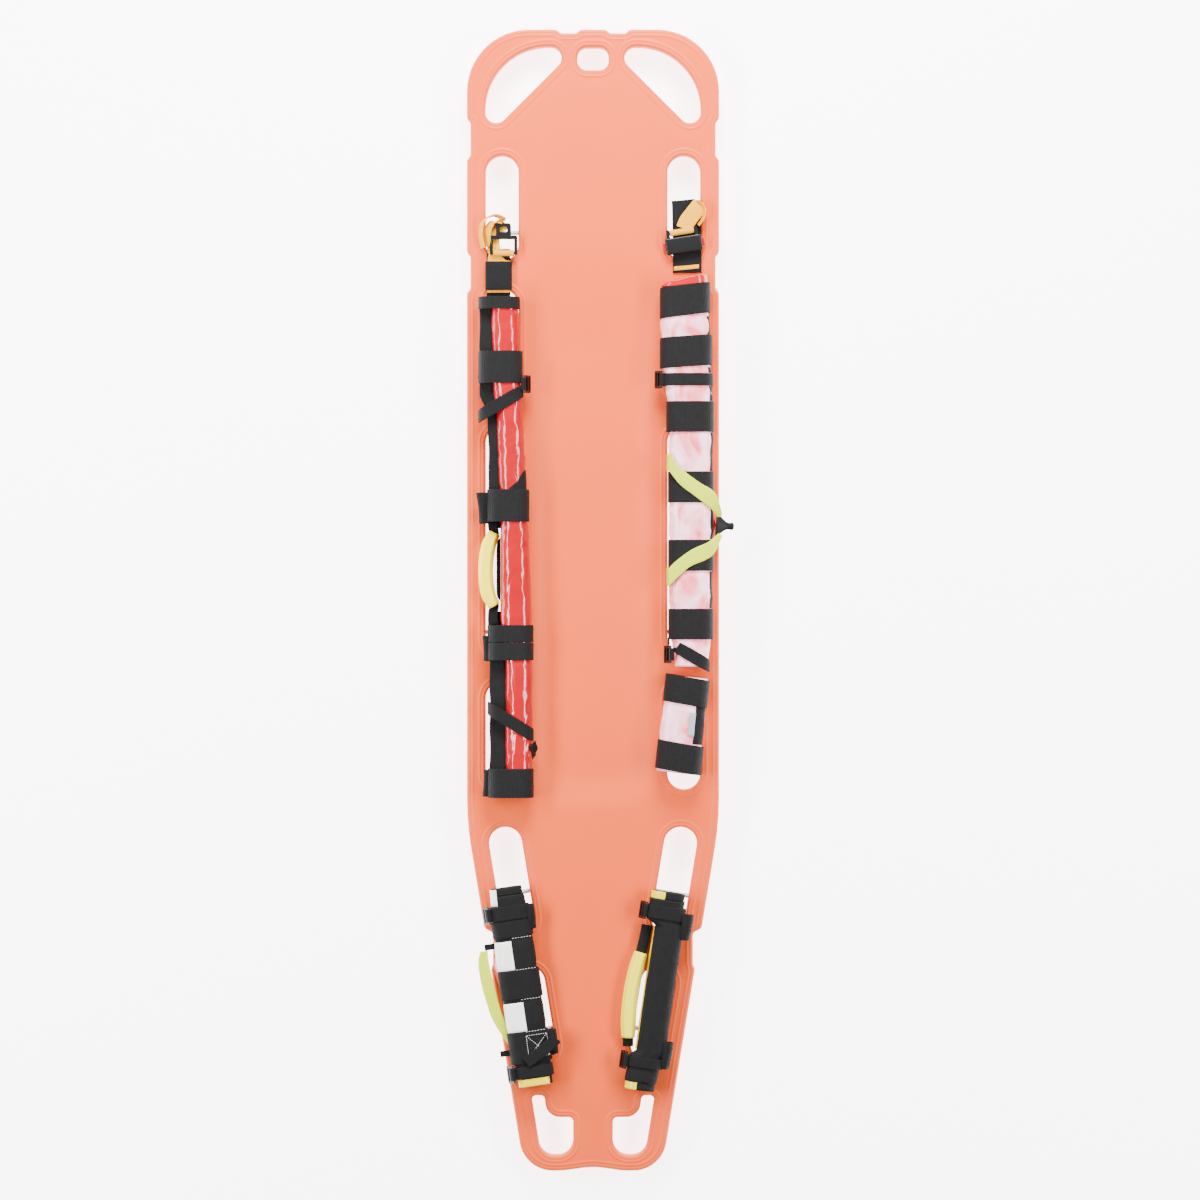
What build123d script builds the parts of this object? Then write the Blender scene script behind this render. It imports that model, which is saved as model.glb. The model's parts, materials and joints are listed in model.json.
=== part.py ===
"""Spine board with its stowed four-wrap restraint harness, in millimetres.

The head of the board points along +Y, its top face looks along +Z, and the origin is the centre of the flat
underside. Each strapped bundle is modelled in a frame of its own, with Y along the bundle.
"""
import math
import os

from build123d import *

# Board outline
board_length = 1829.0
board_half_width = 202.2
foot_width_share = 0.54501
taper_row = 0.69519
taper_blend = 500.0
head_corner = 99.0
foot_corner_share = 0.4846
foot_hollow_share = 0.4356
foot_hollow_rise = 7.0
foot_hollow_blend = 120.0
notch_round = 9.0
head_notch_from = 27.0
head_notch_to = 52.0
head_notch_depth = 6.0
side_notch_depth = 5.8
side_notch_ramp = 6.5
side_notches = ((148.8, 202.4), (363.3, 415.4))
low_notch_depth = 14.0
low_notch_ramp = 7.0
low_notch_row = 0.78759
low_notch_length = 58.0

# Board section
board_top = 45.0
rail_underside = 14.0
skin = 4.0
edge_round = 6.0
belly_slot_gap = 21.45
belly_foot_gap = 18.34
belly_head_inset = 176.5
belly_taper_row = 0.7187
belly_foot_inset = 162.5
belly_flare = 14.0
belly_corner_share = 1.0625
recess_depth = 8.0
recess_slot_gap = 22.45
recess_slope = 27.0
recess_head_row = 0.19382
recess_head_fade = 150.0
recess_foot_row = 0.68043
recess_foot_fade = 40.0
recess_corner_share = 0.64286
flute_width = 12.0
flute_depth = 3.5
flute_spacing = 52.0
flute_head_row = 0.15008
flute_foot_row = 0.68043

# Board openings
slot_width = 52.5
slot_inset = 56.5
slot_rows = (
    (0.11039, 0.20213),
    (0.22750, 0.32296),
    (0.34746, 0.54746),
    (0.57162, 0.66594),
    (0.69874, 0.79306),
    (0.82089, 0.90405),
)
head_hole_share = 0.50099
head_hole_chord_share = 0.38740
head_hole_corner_share = 0.17275
head_hole_side_rim = 29.5
head_hole_top_rim = 27.3
centre_hole_share = 0.24728
centre_hole_height = 36.7
centre_hole_corner = 15.0
centre_hole_inset = 46.8
foot_hole_top_inset = 120.9
foot_hole_bottom_inset = 24.8
foot_hole_shoulder_inset = 86.0
foot_hole_neck_width = 20.95
foot_hole_width = 51.1
foot_hole_inset = 31.2
foot_hole_lobe = 25.0
foot_hole_shoulder_round = 24.0
foot_hole_small_round = 7.0

# Clip pins across the slots
pin_radius = 3.5
pin_seat = 9.0
pin_clearance = 0.1
pin_rows = (0.17764, 0.52777, 0.75697, 0.87726)

# Webbing and clearances shared by the harness
clearance = 0.3
webbing = 2.0
strap_width = 20.0
long_roll_height = 38.0
foot_roll_height = 34.0
bundle_height = 12.0
bundle_corner = 4.0

# Ladder lock
lock_width = 28.0
lock_thickness = 4.0
lock_reach = 16.0
lock_bar = 2.0
lock_side = 3.5
lock_middle = 6.6
lock_middle_width = 2.4
lock_end_width = 3.0
lock_loop_wall = 1.5
lock_flank = 60.0

# Cutting blocks, in sizes of what they cut
slant_reach = 1.4
cutting_reach = 4.0

# Line of the long wraps' middles, over the hand slots
wrap_line = 145.7

# Left long wrap: y, left edge and right edge of the roll
left_roll_stations = (
    (480.0, -163.0, -119.5),
    (345.0, -161.0, -114.5),
    (300.0, -154.0, -112.5),
    (240.0, -153.0, -109.5),
    (118.0, -147.0, -103.5),
    (-40.0, -147.0, -97.5),
    (-110.0, -140.0, -97.0),
    (-312.0, -140.0, -97.0),
)
left_bundles = ((478.0, 304.0, -181.0, -163.6), (294.0, 128.0, -167.0, -154.6), (-44.0, -310.0, -166.0, -147.6))
left_bands = ((483.9, 464.7), (397.4, 346.2), (176.5, 125.2), (-67.4, -95.8), (-268.7, -315.1))
left_double_band = (-39.7, -66.9)
left_diagonals = ((-139.0, 318.0, 33.0, 60.0), (-134.0, -192.0, -30.0, 60.0))
left_lock_y = 344.6
left_tail_y = -243.1
left_tail_length = 32.0

# Carrying handles with moulded grips
grip_radius = 12.5
grip_end_radius = 8.0
grip_neck_share = 0.2
grip_steps = 10
handle_webbing_width = 16.0
left_handle_ends = (124.9, -39.4)
left_handle_axis_x = -160.0
left_handle_grip_ends = (108.0, -10.0)
left_handle_bow = 12.0
right_foot_handle_grip_ends = (56.0, -82.0)
right_foot_handle_ends = (102.0, -96.0)
right_foot_handle_axis_x = -29.0
right_foot_handle_bow = 6.0

# Left shoulder strap and buckle tongue
shoulder_width = 38.0
left_shoulder_x = -151.0
left_shoulder_low = 486.0
left_shoulder_high = 562.0
keeper_low = 496.0
keeper_high = 542.0
keeper_height = 10.0
tongue_bar_y = 555.0
tongue_bar_radius = 2.6
tongue_x = -143.0
tongue_width = 44.0
tongue_length = 28.0
tongue_side = 5.0
tongue_top_bar = 6.0
tongue_head_width = 24.0
tongue_head_length = 20.0
tongue_thickness = 5.0
tongue_blade_hole = 9.0
lobe_width = 15.0
lobe_height = 14.0
lobe_bend = 12.0
left_lobe_path = ((-178.0, 570.0), (-176.0, 612.0), (-138.0, 613.0))
right_lobe_path = ((168.0, 607.0), (173.0, 620.0), (160.0, 632.0))

# Right shoulder strap and buckle
buckle_angle = 9.0
buckle_bar_x = 142.0
buckle_bar_y = 589.5
buckle_bar_radius = 2.6
buckle_bar_length = 50.0
buckle_width = 58.0
buckle_length = 26.0
buckle_height = 13.0
buckle_ear = 5.0
buckle_wall = 2.4
buckle_guide = 1.6
buckle_drop = 8.0
button_travel = 3.0
button_length = 12.0
button_height = 7.0
button_proud = 4.0
spring_radius = 2.2
spring_wire = 0.7
right_shoulder_x = 151.0
right_shoulder_low = 524.0
right_shoulder_high = 640.0
shoulder_extra_width = 10.0
shoulder_fold_gap = 12.0
shoulder_fold_shift = 5.0

# Right long wrap: y, left edge and right edge of the roll
right_roll_stations = (
    (499.0, 109.0, 183.5),
    (372.0, 109.0, 188.0),
    (330.0, 117.5, 190.0),
    (300.0, 121.5, 191.0),
    (-58.0, 122.5, 189.5),
    (-84.0, 131.0, 185.0),
    (-106.0, 131.0, 180.0),
)
right_bands = (
    (478.3, 31.0, 7.0),
    (396.6, 29.0, 4.0),
    (351.8, 20.0, 0.0),
    (292.6, 49.0, 0.0),
    (180.5, 49.6, 0.0),
    (71.6, 49.6, 0.0),
    (-38.1, 40.0, 0.0),
)
right_lining_length = 20.0
right_upper_lock_y = 351.8
right_neck_strap = (156.0, -88.0, -30.0)
right_lower_lock_y = -86.2
lower_roll_x = 143.5
lower_roll_y = -198.0
lower_roll_angle = -6.0
lower_roll_stations = ((76.0, -33.0, 33.0), (-78.0, -35.0, 35.0))
lower_bands = ((54.0, 44.0, -4.0), (-53.0, 46.0, -4.0))
lower_edge = (20.0, 33.0)
tab_size = (11.0, 38.0, 1.2)
cord_radius = 1.5
cord_loop_radius = 5.0

# Lime grab strap across the right wrap
grab_strap_width = 24.0
grab_hinge_x = 119.0
grab_tip_x = 206.0
grab_tip_y = 120.0
grab_high_y = 211.0
grab_low_y = 30.0
grab_bend_x = 184.0
grab_drop = 22.0
grab_grip_length = 18.0
grab_grip_width = 35.0
grab_grip_height = 12.0
grab_grip_round = 4.0

# Foot wraps, each in a frame at the middle of its axis: row, inset from the board's edge and turn
left_foot_axis = (0.83559, 54.11, 8.42)
left_foot_stations = ((146.0, -36.0, 16.0), (120.0, -40.0, 20.0), (-60.0, -42.0, 21.0), (-148.0, -38.0, 20.0))
left_foot_handle_band = (-98.0, 50.0, 0.0)
left_foot_bands = (
    (118.0, 22.0, 0.0),
    (92.0, 26.0, 0.0),
    (3.0, 46.0, 0.0),
    left_foot_handle_band,
    (-138.0, 18.0, 0.0),
)
left_foot_panels = ((50.0, 44.0), (-48.0, 46.0))
left_foot_lock_rows = (118.0, -138.0)
right_foot_axis = (0.84040, 61.47, -8.62)
right_foot_stations = (
    (146.0, -28.0, 28.0),
    (112.0, -29.0, 30.0),
    (104.0, -13.0, 32.0),
    (-98.0, -13.0, 33.0),
    (-106.0, -24.0, 30.0),
    (-148.0, -24.0, 26.0),
)
right_foot_bands = ((125.0, 21.0, 0.0), (-116.0, 16.0, 0.0))
right_foot_lock_rows = (125.0, -116.0)
lining_length = 12.0
foot_handle_x = -55.0
foot_handle_tab = 10.0
foot_handle_rows = (62.0, -98.0)
foot_handle_bow = 16.0
foot_handle_width = 20.0
foot_handle_thickness = 3.0

# Derived places
board_half_length = board_length / 2
foot_half_width = foot_width_share * board_half_width
taper_start = board_half_length - taper_row * board_length
taper_slope = (board_half_width - foot_half_width) / (taper_start + board_half_length)
taper_angle = math.degrees(math.atan(taper_slope))
rest = board_top + clearance
roll_base = rest + webbing + clearance
band_growth = clearance + webbing
pin_z = (board_top + rail_underside) / 2
slot_centre = board_half_width - slot_inset
slot_inner = slot_centre - slot_width / 2
tongue_z = rest + 2 * webbing + 3 * clearance + tongue_bar_radius + clearance + webbing
buckle_bar_z = rest + webbing + clearance + buckle_height / 2
lock_pivot_gap = clearance + lock_bar + clearance + lock_loop_wall


def right_edge(y):
    """Half width of the board at y: straight, then tapering towards the foot."""
    return board_half_width - taper_slope * max(0.0, taper_start - y)


def row_at(share):
    """Y of a row that lies this share of the board's length below the head."""
    return board_half_length - share * board_length


def rounded_face(corners):
    """Face whose straight sides meet at corners (x, y, radius)."""
    points = [(x, y) for x, y, _ in corners]
    radii = [radius for _, _, radius in corners]
    return make_face(FilletPolyline(*points, radius=radii, close=True))


def both_sides(right):
    """Corners of the right half, head to foot, followed by their mirror images back to the head."""
    left = [(-x, y, radius) for x, y, radius in reversed(right) if x > 0]
    return [*right, *left]


def board_outline():
    """Plan of the board without its openings."""
    head = board_half_length
    head_ramp = head_notch_depth * side_notch_ramp / side_notch_depth
    corners = [
        (head_notch_from - head_ramp, head, notch_round),
        (head_notch_from, head - head_notch_depth, notch_round),
        (head_notch_to, head - head_notch_depth, notch_round),
        (head_notch_to + head_ramp, head, notch_round),
        (board_half_width, head, head_corner),
    ]
    notch_floor = board_half_width - side_notch_depth
    for high, low in side_notches:
        high, low = head - high, head - low
        corners += [
            (board_half_width, high + side_notch_ramp, notch_round),
            (notch_floor, high, notch_round),
            (notch_floor, low, notch_round),
            (board_half_width, low - side_notch_ramp, notch_round),
        ]
    low_notch_from = row_at(low_notch_row)
    low_floor = right_edge(low_notch_from) - low_notch_depth
    low_end = low_notch_from - low_notch_length
    corners += [
        (board_half_width, taper_start, taper_blend),
        (right_edge(low_notch_from), low_notch_from, notch_round),
        (low_floor, low_notch_from - low_notch_ramp, notch_round),
        (low_floor, low_end, notch_round),
        (right_edge(low_end - low_notch_ramp), low_end - low_notch_ramp, notch_round),
        (foot_half_width, -board_half_length, foot_corner_share * foot_half_width),
        (foot_hollow_share * foot_half_width, -board_half_length, foot_hollow_blend),
        (0.0, foot_hollow_rise - board_half_length, foot_hollow_blend),
    ]
    return rounded_face(both_sides(corners))


def slot_hole(high, low):
    """Hand slot on the right, following the side of the board."""
    angle = taper_angle if high < taper_start else 0.0
    straight = (high - low - slot_width) / math.cos(math.radians(angle))
    middle = (high + low) / 2
    place = Pos(right_edge(middle) - slot_inset, middle) * Rot(0, 0, 90 - angle)
    return place * SlotOverall(straight + slot_width, slot_width)


def head_hole():
    """D-shaped grab hole in the right corner of the head."""
    radius = head_hole_share * board_half_width
    chord = head_hole_chord_share * radius
    half_chord = math.sqrt(radius**2 - chord**2)
    arc = ThreePointArc((chord, -half_chord), (radius, 0), (chord, half_chord))
    corner_to_corner = make_face([arc, Line(arc @ 1, arc @ 0)])
    rounded = fillet(corner_to_corner.vertices(), head_hole_corner_share * radius)
    centre_x = board_half_width - head_hole_side_rim - radius
    centre_y = board_half_length - head_hole_top_rim - radius
    return Pos(centre_x, centre_y) * Rot(0, 0, 45) * rounded


def foot_hole():
    """Grab hole in the right corner of the foot, narrow at the top and round at the bottom."""
    top = foot_hole_top_inset - board_half_length
    shoulder = foot_hole_shoulder_inset - board_half_length
    bottom = foot_hole_bottom_inset - board_half_length
    outer_top = right_edge(top) - foot_hole_inset
    outer_bottom = right_edge(bottom) - foot_hole_inset
    neck = outer_top - foot_hole_neck_width
    inner = outer_bottom - foot_hole_width
    return rounded_face([
        (outer_top, top, foot_hole_small_round),
        (neck, top, foot_hole_small_round),
        (neck - foot_hole_small_round / 2, shoulder, foot_hole_shoulder_round),
        (inner, shoulder, foot_hole_small_round),
        (inner, bottom, foot_hole_lobe),
        (outer_bottom, bottom, foot_hole_lobe),
    ])


def board_openings():
    """All openings through the board, in plan."""
    right = [slot_hole(row_at(high), row_at(low)) for high, low in slot_rows]
    right += [head_hole(), foot_hole()]
    left = [mirror(hole, about=Plane.YZ) for hole in right]
    centre_y = board_half_length - centre_hole_inset
    centre_width = centre_hole_share * board_half_width
    centre = Pos(0, centre_y) * RectangleRounded(centre_width, centre_hole_height, centre_hole_corner)
    return [*right, *left, centre]


def belly(inset=0.0):
    """Flat-bottomed middle of the underside that the board stands on, flaring up to the rails."""
    head = board_half_length - belly_head_inset
    foot = belly_foot_inset - board_half_length
    half_width = slot_inner - belly_slot_gap
    foot_half = right_edge(foot) - slot_inset - slot_width / 2 - belly_foot_gap
    corner = belly_corner_share * (foot_half - skin)

    def outline(grow):
        return rounded_face(both_sides([
            (half_width + grow, head + grow, corner),
            (half_width + grow, row_at(belly_taper_row), corner),
            (foot_half + grow, foot - grow, corner),
        ]))
    low = Pos(0, 0, inset) * outline(-inset)
    high = Pos(0, 0, rail_underside + inset) * outline(belly_flare - inset)
    return loft([low, high], ruled=True)


def recess(grow=0.0):
    """Shallow hollow for the casualty's back, fading out towards head and foot."""
    half = slot_inner - recess_slot_gap
    corner = recess_corner_share * (half - recess_slope)

    def outline(half_width, head, foot):
        middle = (head + foot) / 2
        return Pos(0, middle) * RectangleRounded(2 * half_width, head - foot, corner)
    head = row_at(recess_head_row)
    foot = row_at(recess_foot_row)
    top = Pos(0, 0, board_top) * outline(half + grow, head, foot - grow)
    floor_half = half - recess_slope + grow
    floor_head = head - recess_head_fade
    floor_foot = foot + recess_foot_fade - grow
    floor = Pos(0, 0, board_top - recess_depth - grow) * outline(floor_half, floor_head, floor_foot)
    return loft([top, floor], ruled=True)


def flutes():
    """Three long shallow grooves that stiffen the flat underside."""
    high = row_at(flute_head_row)
    low = row_at(flute_foot_row)
    length = high - low
    middle = (high + low) / 2
    groove = extrude(SlotOverall(length, flute_width, rotation=90), amount=flute_depth)
    return [Pos(offset * flute_spacing, middle, 0) * groove for offset in (-1, 0, 1)]


def pin_places():
    """Middle of each clip pin and its turn about Z, right side and left side."""
    places = []
    for row in pin_rows:
        y = row_at(row)
        angle = -taper_angle if y < taper_start else 0.0
        x = right_edge(y) - slot_inset
        places.append(Pos(x, y, pin_z) * Rot(0, 0, angle))
        places.append(Pos(-x, y, pin_z) * Rot(0, 0, -angle))
    return places


def clip_pin(radius, length):
    """Round bar across a slot."""
    return Rot(0, 90, 0) * Cylinder(radius, length)


def board_pieces():
    """The moulded skin, the foam inside it and the clip pins."""
    openings = board_openings()
    plan = board_outline() - openings
    slab = Pos(0, 0, rail_underside) * extrude(plan, amount=board_top - rail_underside)
    flat_faces = (slab.faces().sort_by(Axis.Z)[-1], slab.faces().sort_by(Axis.Z)[0])
    slab = fillet([edge for face in flat_faces for edge in face.edges()], edge_round)
    outer = slab + belly() - recess() - flutes()
    inner_plan = offset(board_outline(), amount=-skin) - [offset(hole, amount=skin) for hole in openings]
    core = Pos(0, 0, rail_underside + skin) * extrude(inner_plan, amount=board_top - rail_underside - 2 * skin)
    core = core + belly(skin) - recess(skin)
    core = core - [Pos(0, 0, skin) * groove for groove in flutes()]
    seats = [place * clip_pin(pin_radius + pin_clearance, slot_width + 2 * pin_seat) for place in pin_places()]
    core = core - seats
    shell = outer - core - seats
    pins = [place * clip_pin(pin_radius, slot_width + 2 * pin_seat - 2 * pin_clearance) for place in pin_places()]
    return shell, core, Compound(children=pins)


def across(x, y, z):
    """Plane that cuts a bundle square across, with its own x to the right and its own y up."""
    return Plane(origin=(x, y, z), x_dir=(1, 0, 0), z_dir=(0, -1, 0))


def roll_section(left, right, height, y, base=roll_base):
    """Flat-bottomed oval across a rolled or folded bundle, with half-round flanks."""
    oval = SlotOverall(right - left, height)
    return across((left + right) / 2, y, base + height / 2) * oval


def rolled(stations, height):
    """Rolled cloth through stations of y, left edge and right edge."""
    return loft([roll_section(left, right, height, y) for y, left, right in stations], ruled=True)


def edges_at(stations, y):
    """Left and right edge of a roll at y, straight between its stations."""
    rows = sorted(stations)
    y = min(max(y, rows[0][0]), rows[-1][0])
    for (y0, left0, right0), (y1, left1, right1) in zip(rows, rows[1:]):
        if y <= y1:
            share = (y - y0) / (y1 - y0)
            return left0 + share * (left1 - left0), right0 + share * (right1 - right0)
    return rows[-1][1:]


def hoop(left, right, height, high, low, growth=0.0):
    """Band of webbing around a bundle of the given edges and height, from high to low along Y."""
    inner_gap = clearance + growth
    outer_gap = inner_gap + webbing
    outer = roll_section(left - outer_gap, right + outer_gap, height + 2 * outer_gap, high, roll_base - outer_gap)
    inner = roll_section(left - inner_gap, right + inner_gap, height + 2 * inner_gap, high, roll_base - inner_gap)
    return extrude(outer - inner, amount=high - low)


def widest(stations, high, low):
    """Outermost left and right edges of a roll between two rows."""
    rows = [edges_at(stations, high), edges_at(stations, low)]
    rows += [(left, right) for y, left, right in stations if low < y < high]
    return min(left for left, _ in rows), max(right for _, right in rows)


def tilted_hoop(stations, height, middle, length, tilt):
    """Band around a roll, cut slanting across it when tilt is not zero."""
    spread = length / 2 + abs(math.tan(math.radians(tilt))) * height * slant_reach
    left, right = widest(stations, middle + spread, middle - spread)
    ring = hoop(left, right, height, middle + spread, middle - spread)
    if not tilt:
        return ring
    centre = (left + right) / 2
    reach = cutting_reach * (right - left)
    cutter = Pos(centre, middle, roll_base + height / 2) * Rot(0, 0, tilt) * Box(reach, length, reach)
    return ring & cutter


def over_strap(left, right, height, x, y, angle, reach, width=strap_width):
    """Strap laid slanting over the top of a bundle."""
    half = reach / 2
    ring = hoop(left, right, height, y + half, y - half)
    middle = roll_base + height / 2
    length = 2 * (right - left) + reach
    cutter = Pos(x, y, middle + length / 2) * Rot(0, 0, angle) * Box(length, width, length)
    return ring & cutter


def ladder_lock():
    """Three-bar strap adjuster: bars along Y, pivot bar at the origin, plate reaching along +X."""
    start = -lock_bar
    body = Pos((start + lock_reach) / 2, 0) * RectangleRounded(lock_reach - start, lock_width, lock_bar)
    plate = Pos(0, 0, -lock_thickness / 2) * extrude(body, amount=lock_thickness)
    window_width = lock_width - 2 * lock_side
    first = (lock_bar, lock_middle)
    second = (lock_middle + lock_middle_width, lock_reach - lock_end_width)
    for low, high in (first, second):
        plate -= Pos((low + high) / 2, 0, 0) * Box(high - low, window_width, 2 * lock_thickness)
    plate -= Box(2 * lock_bar, window_width, lock_thickness)
    return plate + Rot(90, 0, 0) * Cylinder(lock_bar, window_width)


def lock_loop():
    """Webbing loop that holds a ladder lock's pivot bar."""
    inner = lock_bar + clearance
    outer = inner + lock_loop_wall
    ring = Circle(outer) - Circle(inner)
    width = lock_width - 2 * lock_side - 2 * clearance
    return Rot(90, 0, 0) * Pos(0, 0, -width / 2) * extrude(ring, amount=width)


def flank_place(edge, height, side, y):
    """Pivot of a ladder lock on a bundle's flank: its place and a turn that lays it down the flank."""
    radius = height / 2 + band_growth + lock_pivot_gap
    turn = math.radians(lock_flank)
    x = edge - side * height / 2 + side * radius * math.sin(turn)
    z = roll_base + height / 2 + radius * math.cos(turn)
    lean = Rot(0, lock_flank, 0) if side > 0 else Rot(0, 0, 180) * Rot(0, lock_flank, 0)
    return Pos(x, y, z) * lean


def foot_frame(axis, side):
    """Frame of a foot wrap: its row on the board, its inset from the board's edge and its turn."""
    row, inset, angle = axis
    y = row_at(row)
    return Pos(side * (right_edge(y) - inset), y, 0) * Rot(0, 0, angle)


def over_slots(pieces, side):
    """Pieces of a long wrap, kept on the line of the hand slots that they lie over."""
    move = Pos(side * (slot_centre - wrap_line), 0, 0)
    return {name: move * shape for name, shape in pieces.items()}


def bowed_grip(axis_x, high, low, bow, z, side=-1):
    """Moulded grip along a shallow arc, necked down at both ends."""
    path = ThreePointArc((axis_x, high), (axis_x + side * bow, (high + low) / 2), (axis_x, low))
    sections = []
    for step in range(grip_steps + 1):
        share = step / grip_steps
        neck = min(share, 1 - share) / grip_neck_share
        radius = grip_end_radius + (grip_radius - grip_end_radius) * math.sqrt(min(1.0, neck))
        point = path @ share
        sections.append(across(point.X, point.Y, z) * Circle(radius))
    return loft(sections, ruled=True)


def handle_tails(axis_x, ends, grip_ends, z):
    """Webbing that comes out of a grip at both ends and is sewn to the wrap."""
    tails = []
    for end, grip_end in zip(ends, grip_ends):
        length = abs(end - grip_end) - clearance
        middle = (end + grip_end) / 2 + math.copysign(clearance / 2, end - grip_end)
        tails.append(Pos(axis_x, middle, z) * Box(handle_webbing_width, length, webbing))
    return Compound(children=tails)


def left_wrap():
    """Left long wrap with its bundled webbing, bands and straps."""
    parts = {}
    height = long_roll_height
    parts["left_roll"] = rolled(left_roll_stations, height)
    bundles = []
    for high, low, left, right in left_bundles:
        folded = RectangleRounded(right - left, bundle_height, bundle_corner)
        plane = across((left + right) / 2, high, roll_base + height / 2)
        bundles.append(extrude(plane * folded, amount=high - low))
    parts["left_edge_webbing"] = Compound(children=bundles)
    bands = []
    for high, low in left_bands:
        bands.append(hoop(left_side(high, low), widest(left_roll_stations, high, low)[1], height, high, low))
    high, low = left_double_band
    bands.append(hoop(left_side(high, low), widest(left_roll_stations, high, low)[1], height, high, low))
    parts["left_bands"] = Compound(children=bands)
    straps = []
    for x, y, angle, reach in left_diagonals:
        high, low = y + reach / 2, y - reach / 2
        right = widest(left_roll_stations, high, low)[1]
        straps.append(over_strap(left_side(high, low), right, height, x, y, angle, reach))
    parts["left_diagonal_straps"] = Compound(children=straps)
    _, strap_y, _, reach = left_diagonals[0]
    edge = widest(left_roll_stations, strap_y + reach / 2, strap_y - reach / 2)[1]
    place = flank_place(edge, height, 1, left_lock_y)
    parts["left_lock_loop"] = place * lock_loop()
    parts["left_ladder_lock"] = place * ladder_lock()
    tail_x = widest(left_roll_stations, left_tail_y + left_tail_length, left_tail_y - left_tail_length)[1]
    tail = Box(webbing, left_tail_length, strap_width)
    parts["left_strap_tail"] = Pos(tail_x + clearance + webbing / 2, left_tail_y, roll_base + height / 2) * tail
    grip_z = rest + grip_radius
    high, low = left_handle_grip_ends
    parts["left_handle_grip"] = bowed_grip(left_handle_axis_x, high, low, left_handle_bow, grip_z)
    parts["left_handle_webbing"] = handle_tails(left_handle_axis_x, left_handle_ends, left_handle_grip_ends, grip_z)
    return parts


def left_side(high, low):
    """Outermost left edge of the left long wrap's bundle and roll between two rows."""
    edges = [left for top, bottom, left, _ in left_bundles if bottom < high and low < top]
    edges.append(widest(left_roll_stations, high, low)[0])
    return min(edges)


def left_shoulder():
    """Left shoulder strap with its keeper band, folded yellow webbing and buckle tongue."""
    parts = {}
    length = left_shoulder_high - left_shoulder_low
    middle = (left_shoulder_high + left_shoulder_low) / 2
    backing_z = rest + webbing + clearance + webbing / 2
    parts["left_shoulder_backing"] = Pos(left_shoulder_x, middle, backing_z) * Box(shoulder_width, length, webbing)
    strip_z = backing_z + webbing + clearance
    low = keeper_low - clearance
    ring_inner = tongue_bar_radius + clearance
    strip_length = tongue_bar_y - ring_inner - webbing - clearance - low
    strip = Pos(left_shoulder_x, low + strip_length / 2, strip_z) * Box(shoulder_width, strip_length, webbing)
    ring_width = tongue_width - 2 * tongue_side - 2 * clearance
    ring = Circle(ring_inner + webbing) - Circle(ring_inner)
    loop = Rot(0, 90, 0) * Pos(0, 0, -ring_width / 2) * extrude(ring, amount=ring_width)
    loop = Pos(tongue_x, tongue_bar_y, tongue_z) * loop
    folded = trace(FilletPolyline(*left_lobe_path, radius=lobe_bend), lobe_width)
    lobe = Pos(0, 0, rest) * extrude(folded, amount=lobe_height)
    parts["left_shoulder_webbing"] = Compound(children=[strip, loop, lobe])
    outer = Rectangle(shoulder_width + 2 * band_growth, keeper_height)
    inner = Rectangle(shoulder_width + 2 * clearance, keeper_height - 2 * webbing)
    plane = across(left_shoulder_x, keeper_high, rest + keeper_height / 2)
    parts["left_shoulder_keeper"] = extrude(plane * (outer - inner), amount=keeper_high - keeper_low)
    parts["left_buckle_tongue"] = Pos(tongue_x, tongue_bar_y, tongue_z) * tongue()
    return parts


def tongue():
    """Tongue half of the buckle: a frame around the webbing bar and a rounded blade with its catch hole."""
    low = -tongue_bar_radius
    frame = Pos(0, (low + tongue_length) / 2) * RectangleRounded(tongue_width, tongue_length - low, tongue_side / 2)
    window_height = tongue_length - tongue_top_bar - tongue_bar_radius
    window = Pos(0, tongue_bar_radius + window_height / 2) * Rectangle(tongue_width - 2 * tongue_side, window_height)
    head_reach = tongue_length + tongue_head_length / 2
    head = Pos(0, head_reach - tongue_side / 2) * RectangleRounded(
        tongue_head_width, tongue_head_length + tongue_side, tongue_side)
    catch = Pos(0, head_reach) * RectangleRounded(tongue_head_width / 2, tongue_blade_hole, tongue_side / 2)
    flat = (frame + head) - window - catch
    plate = Pos(0, 0, -tongue_thickness / 2) * extrude(flat, amount=tongue_thickness)
    plate -= Box(tongue_width - 2 * tongue_side, 2 * tongue_bar_radius, 2 * tongue_thickness)
    return plate + Rot(0, 90, 0) * Cylinder(tongue_bar_radius, tongue_width - 2 * tongue_side)


def buckle_place():
    """Frame of the right buckle: X along its webbing bar, which passes through the origin."""
    return Pos(buckle_bar_x, buckle_bar_y, buckle_bar_z) * Rot(0, 0, buckle_angle)


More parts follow.
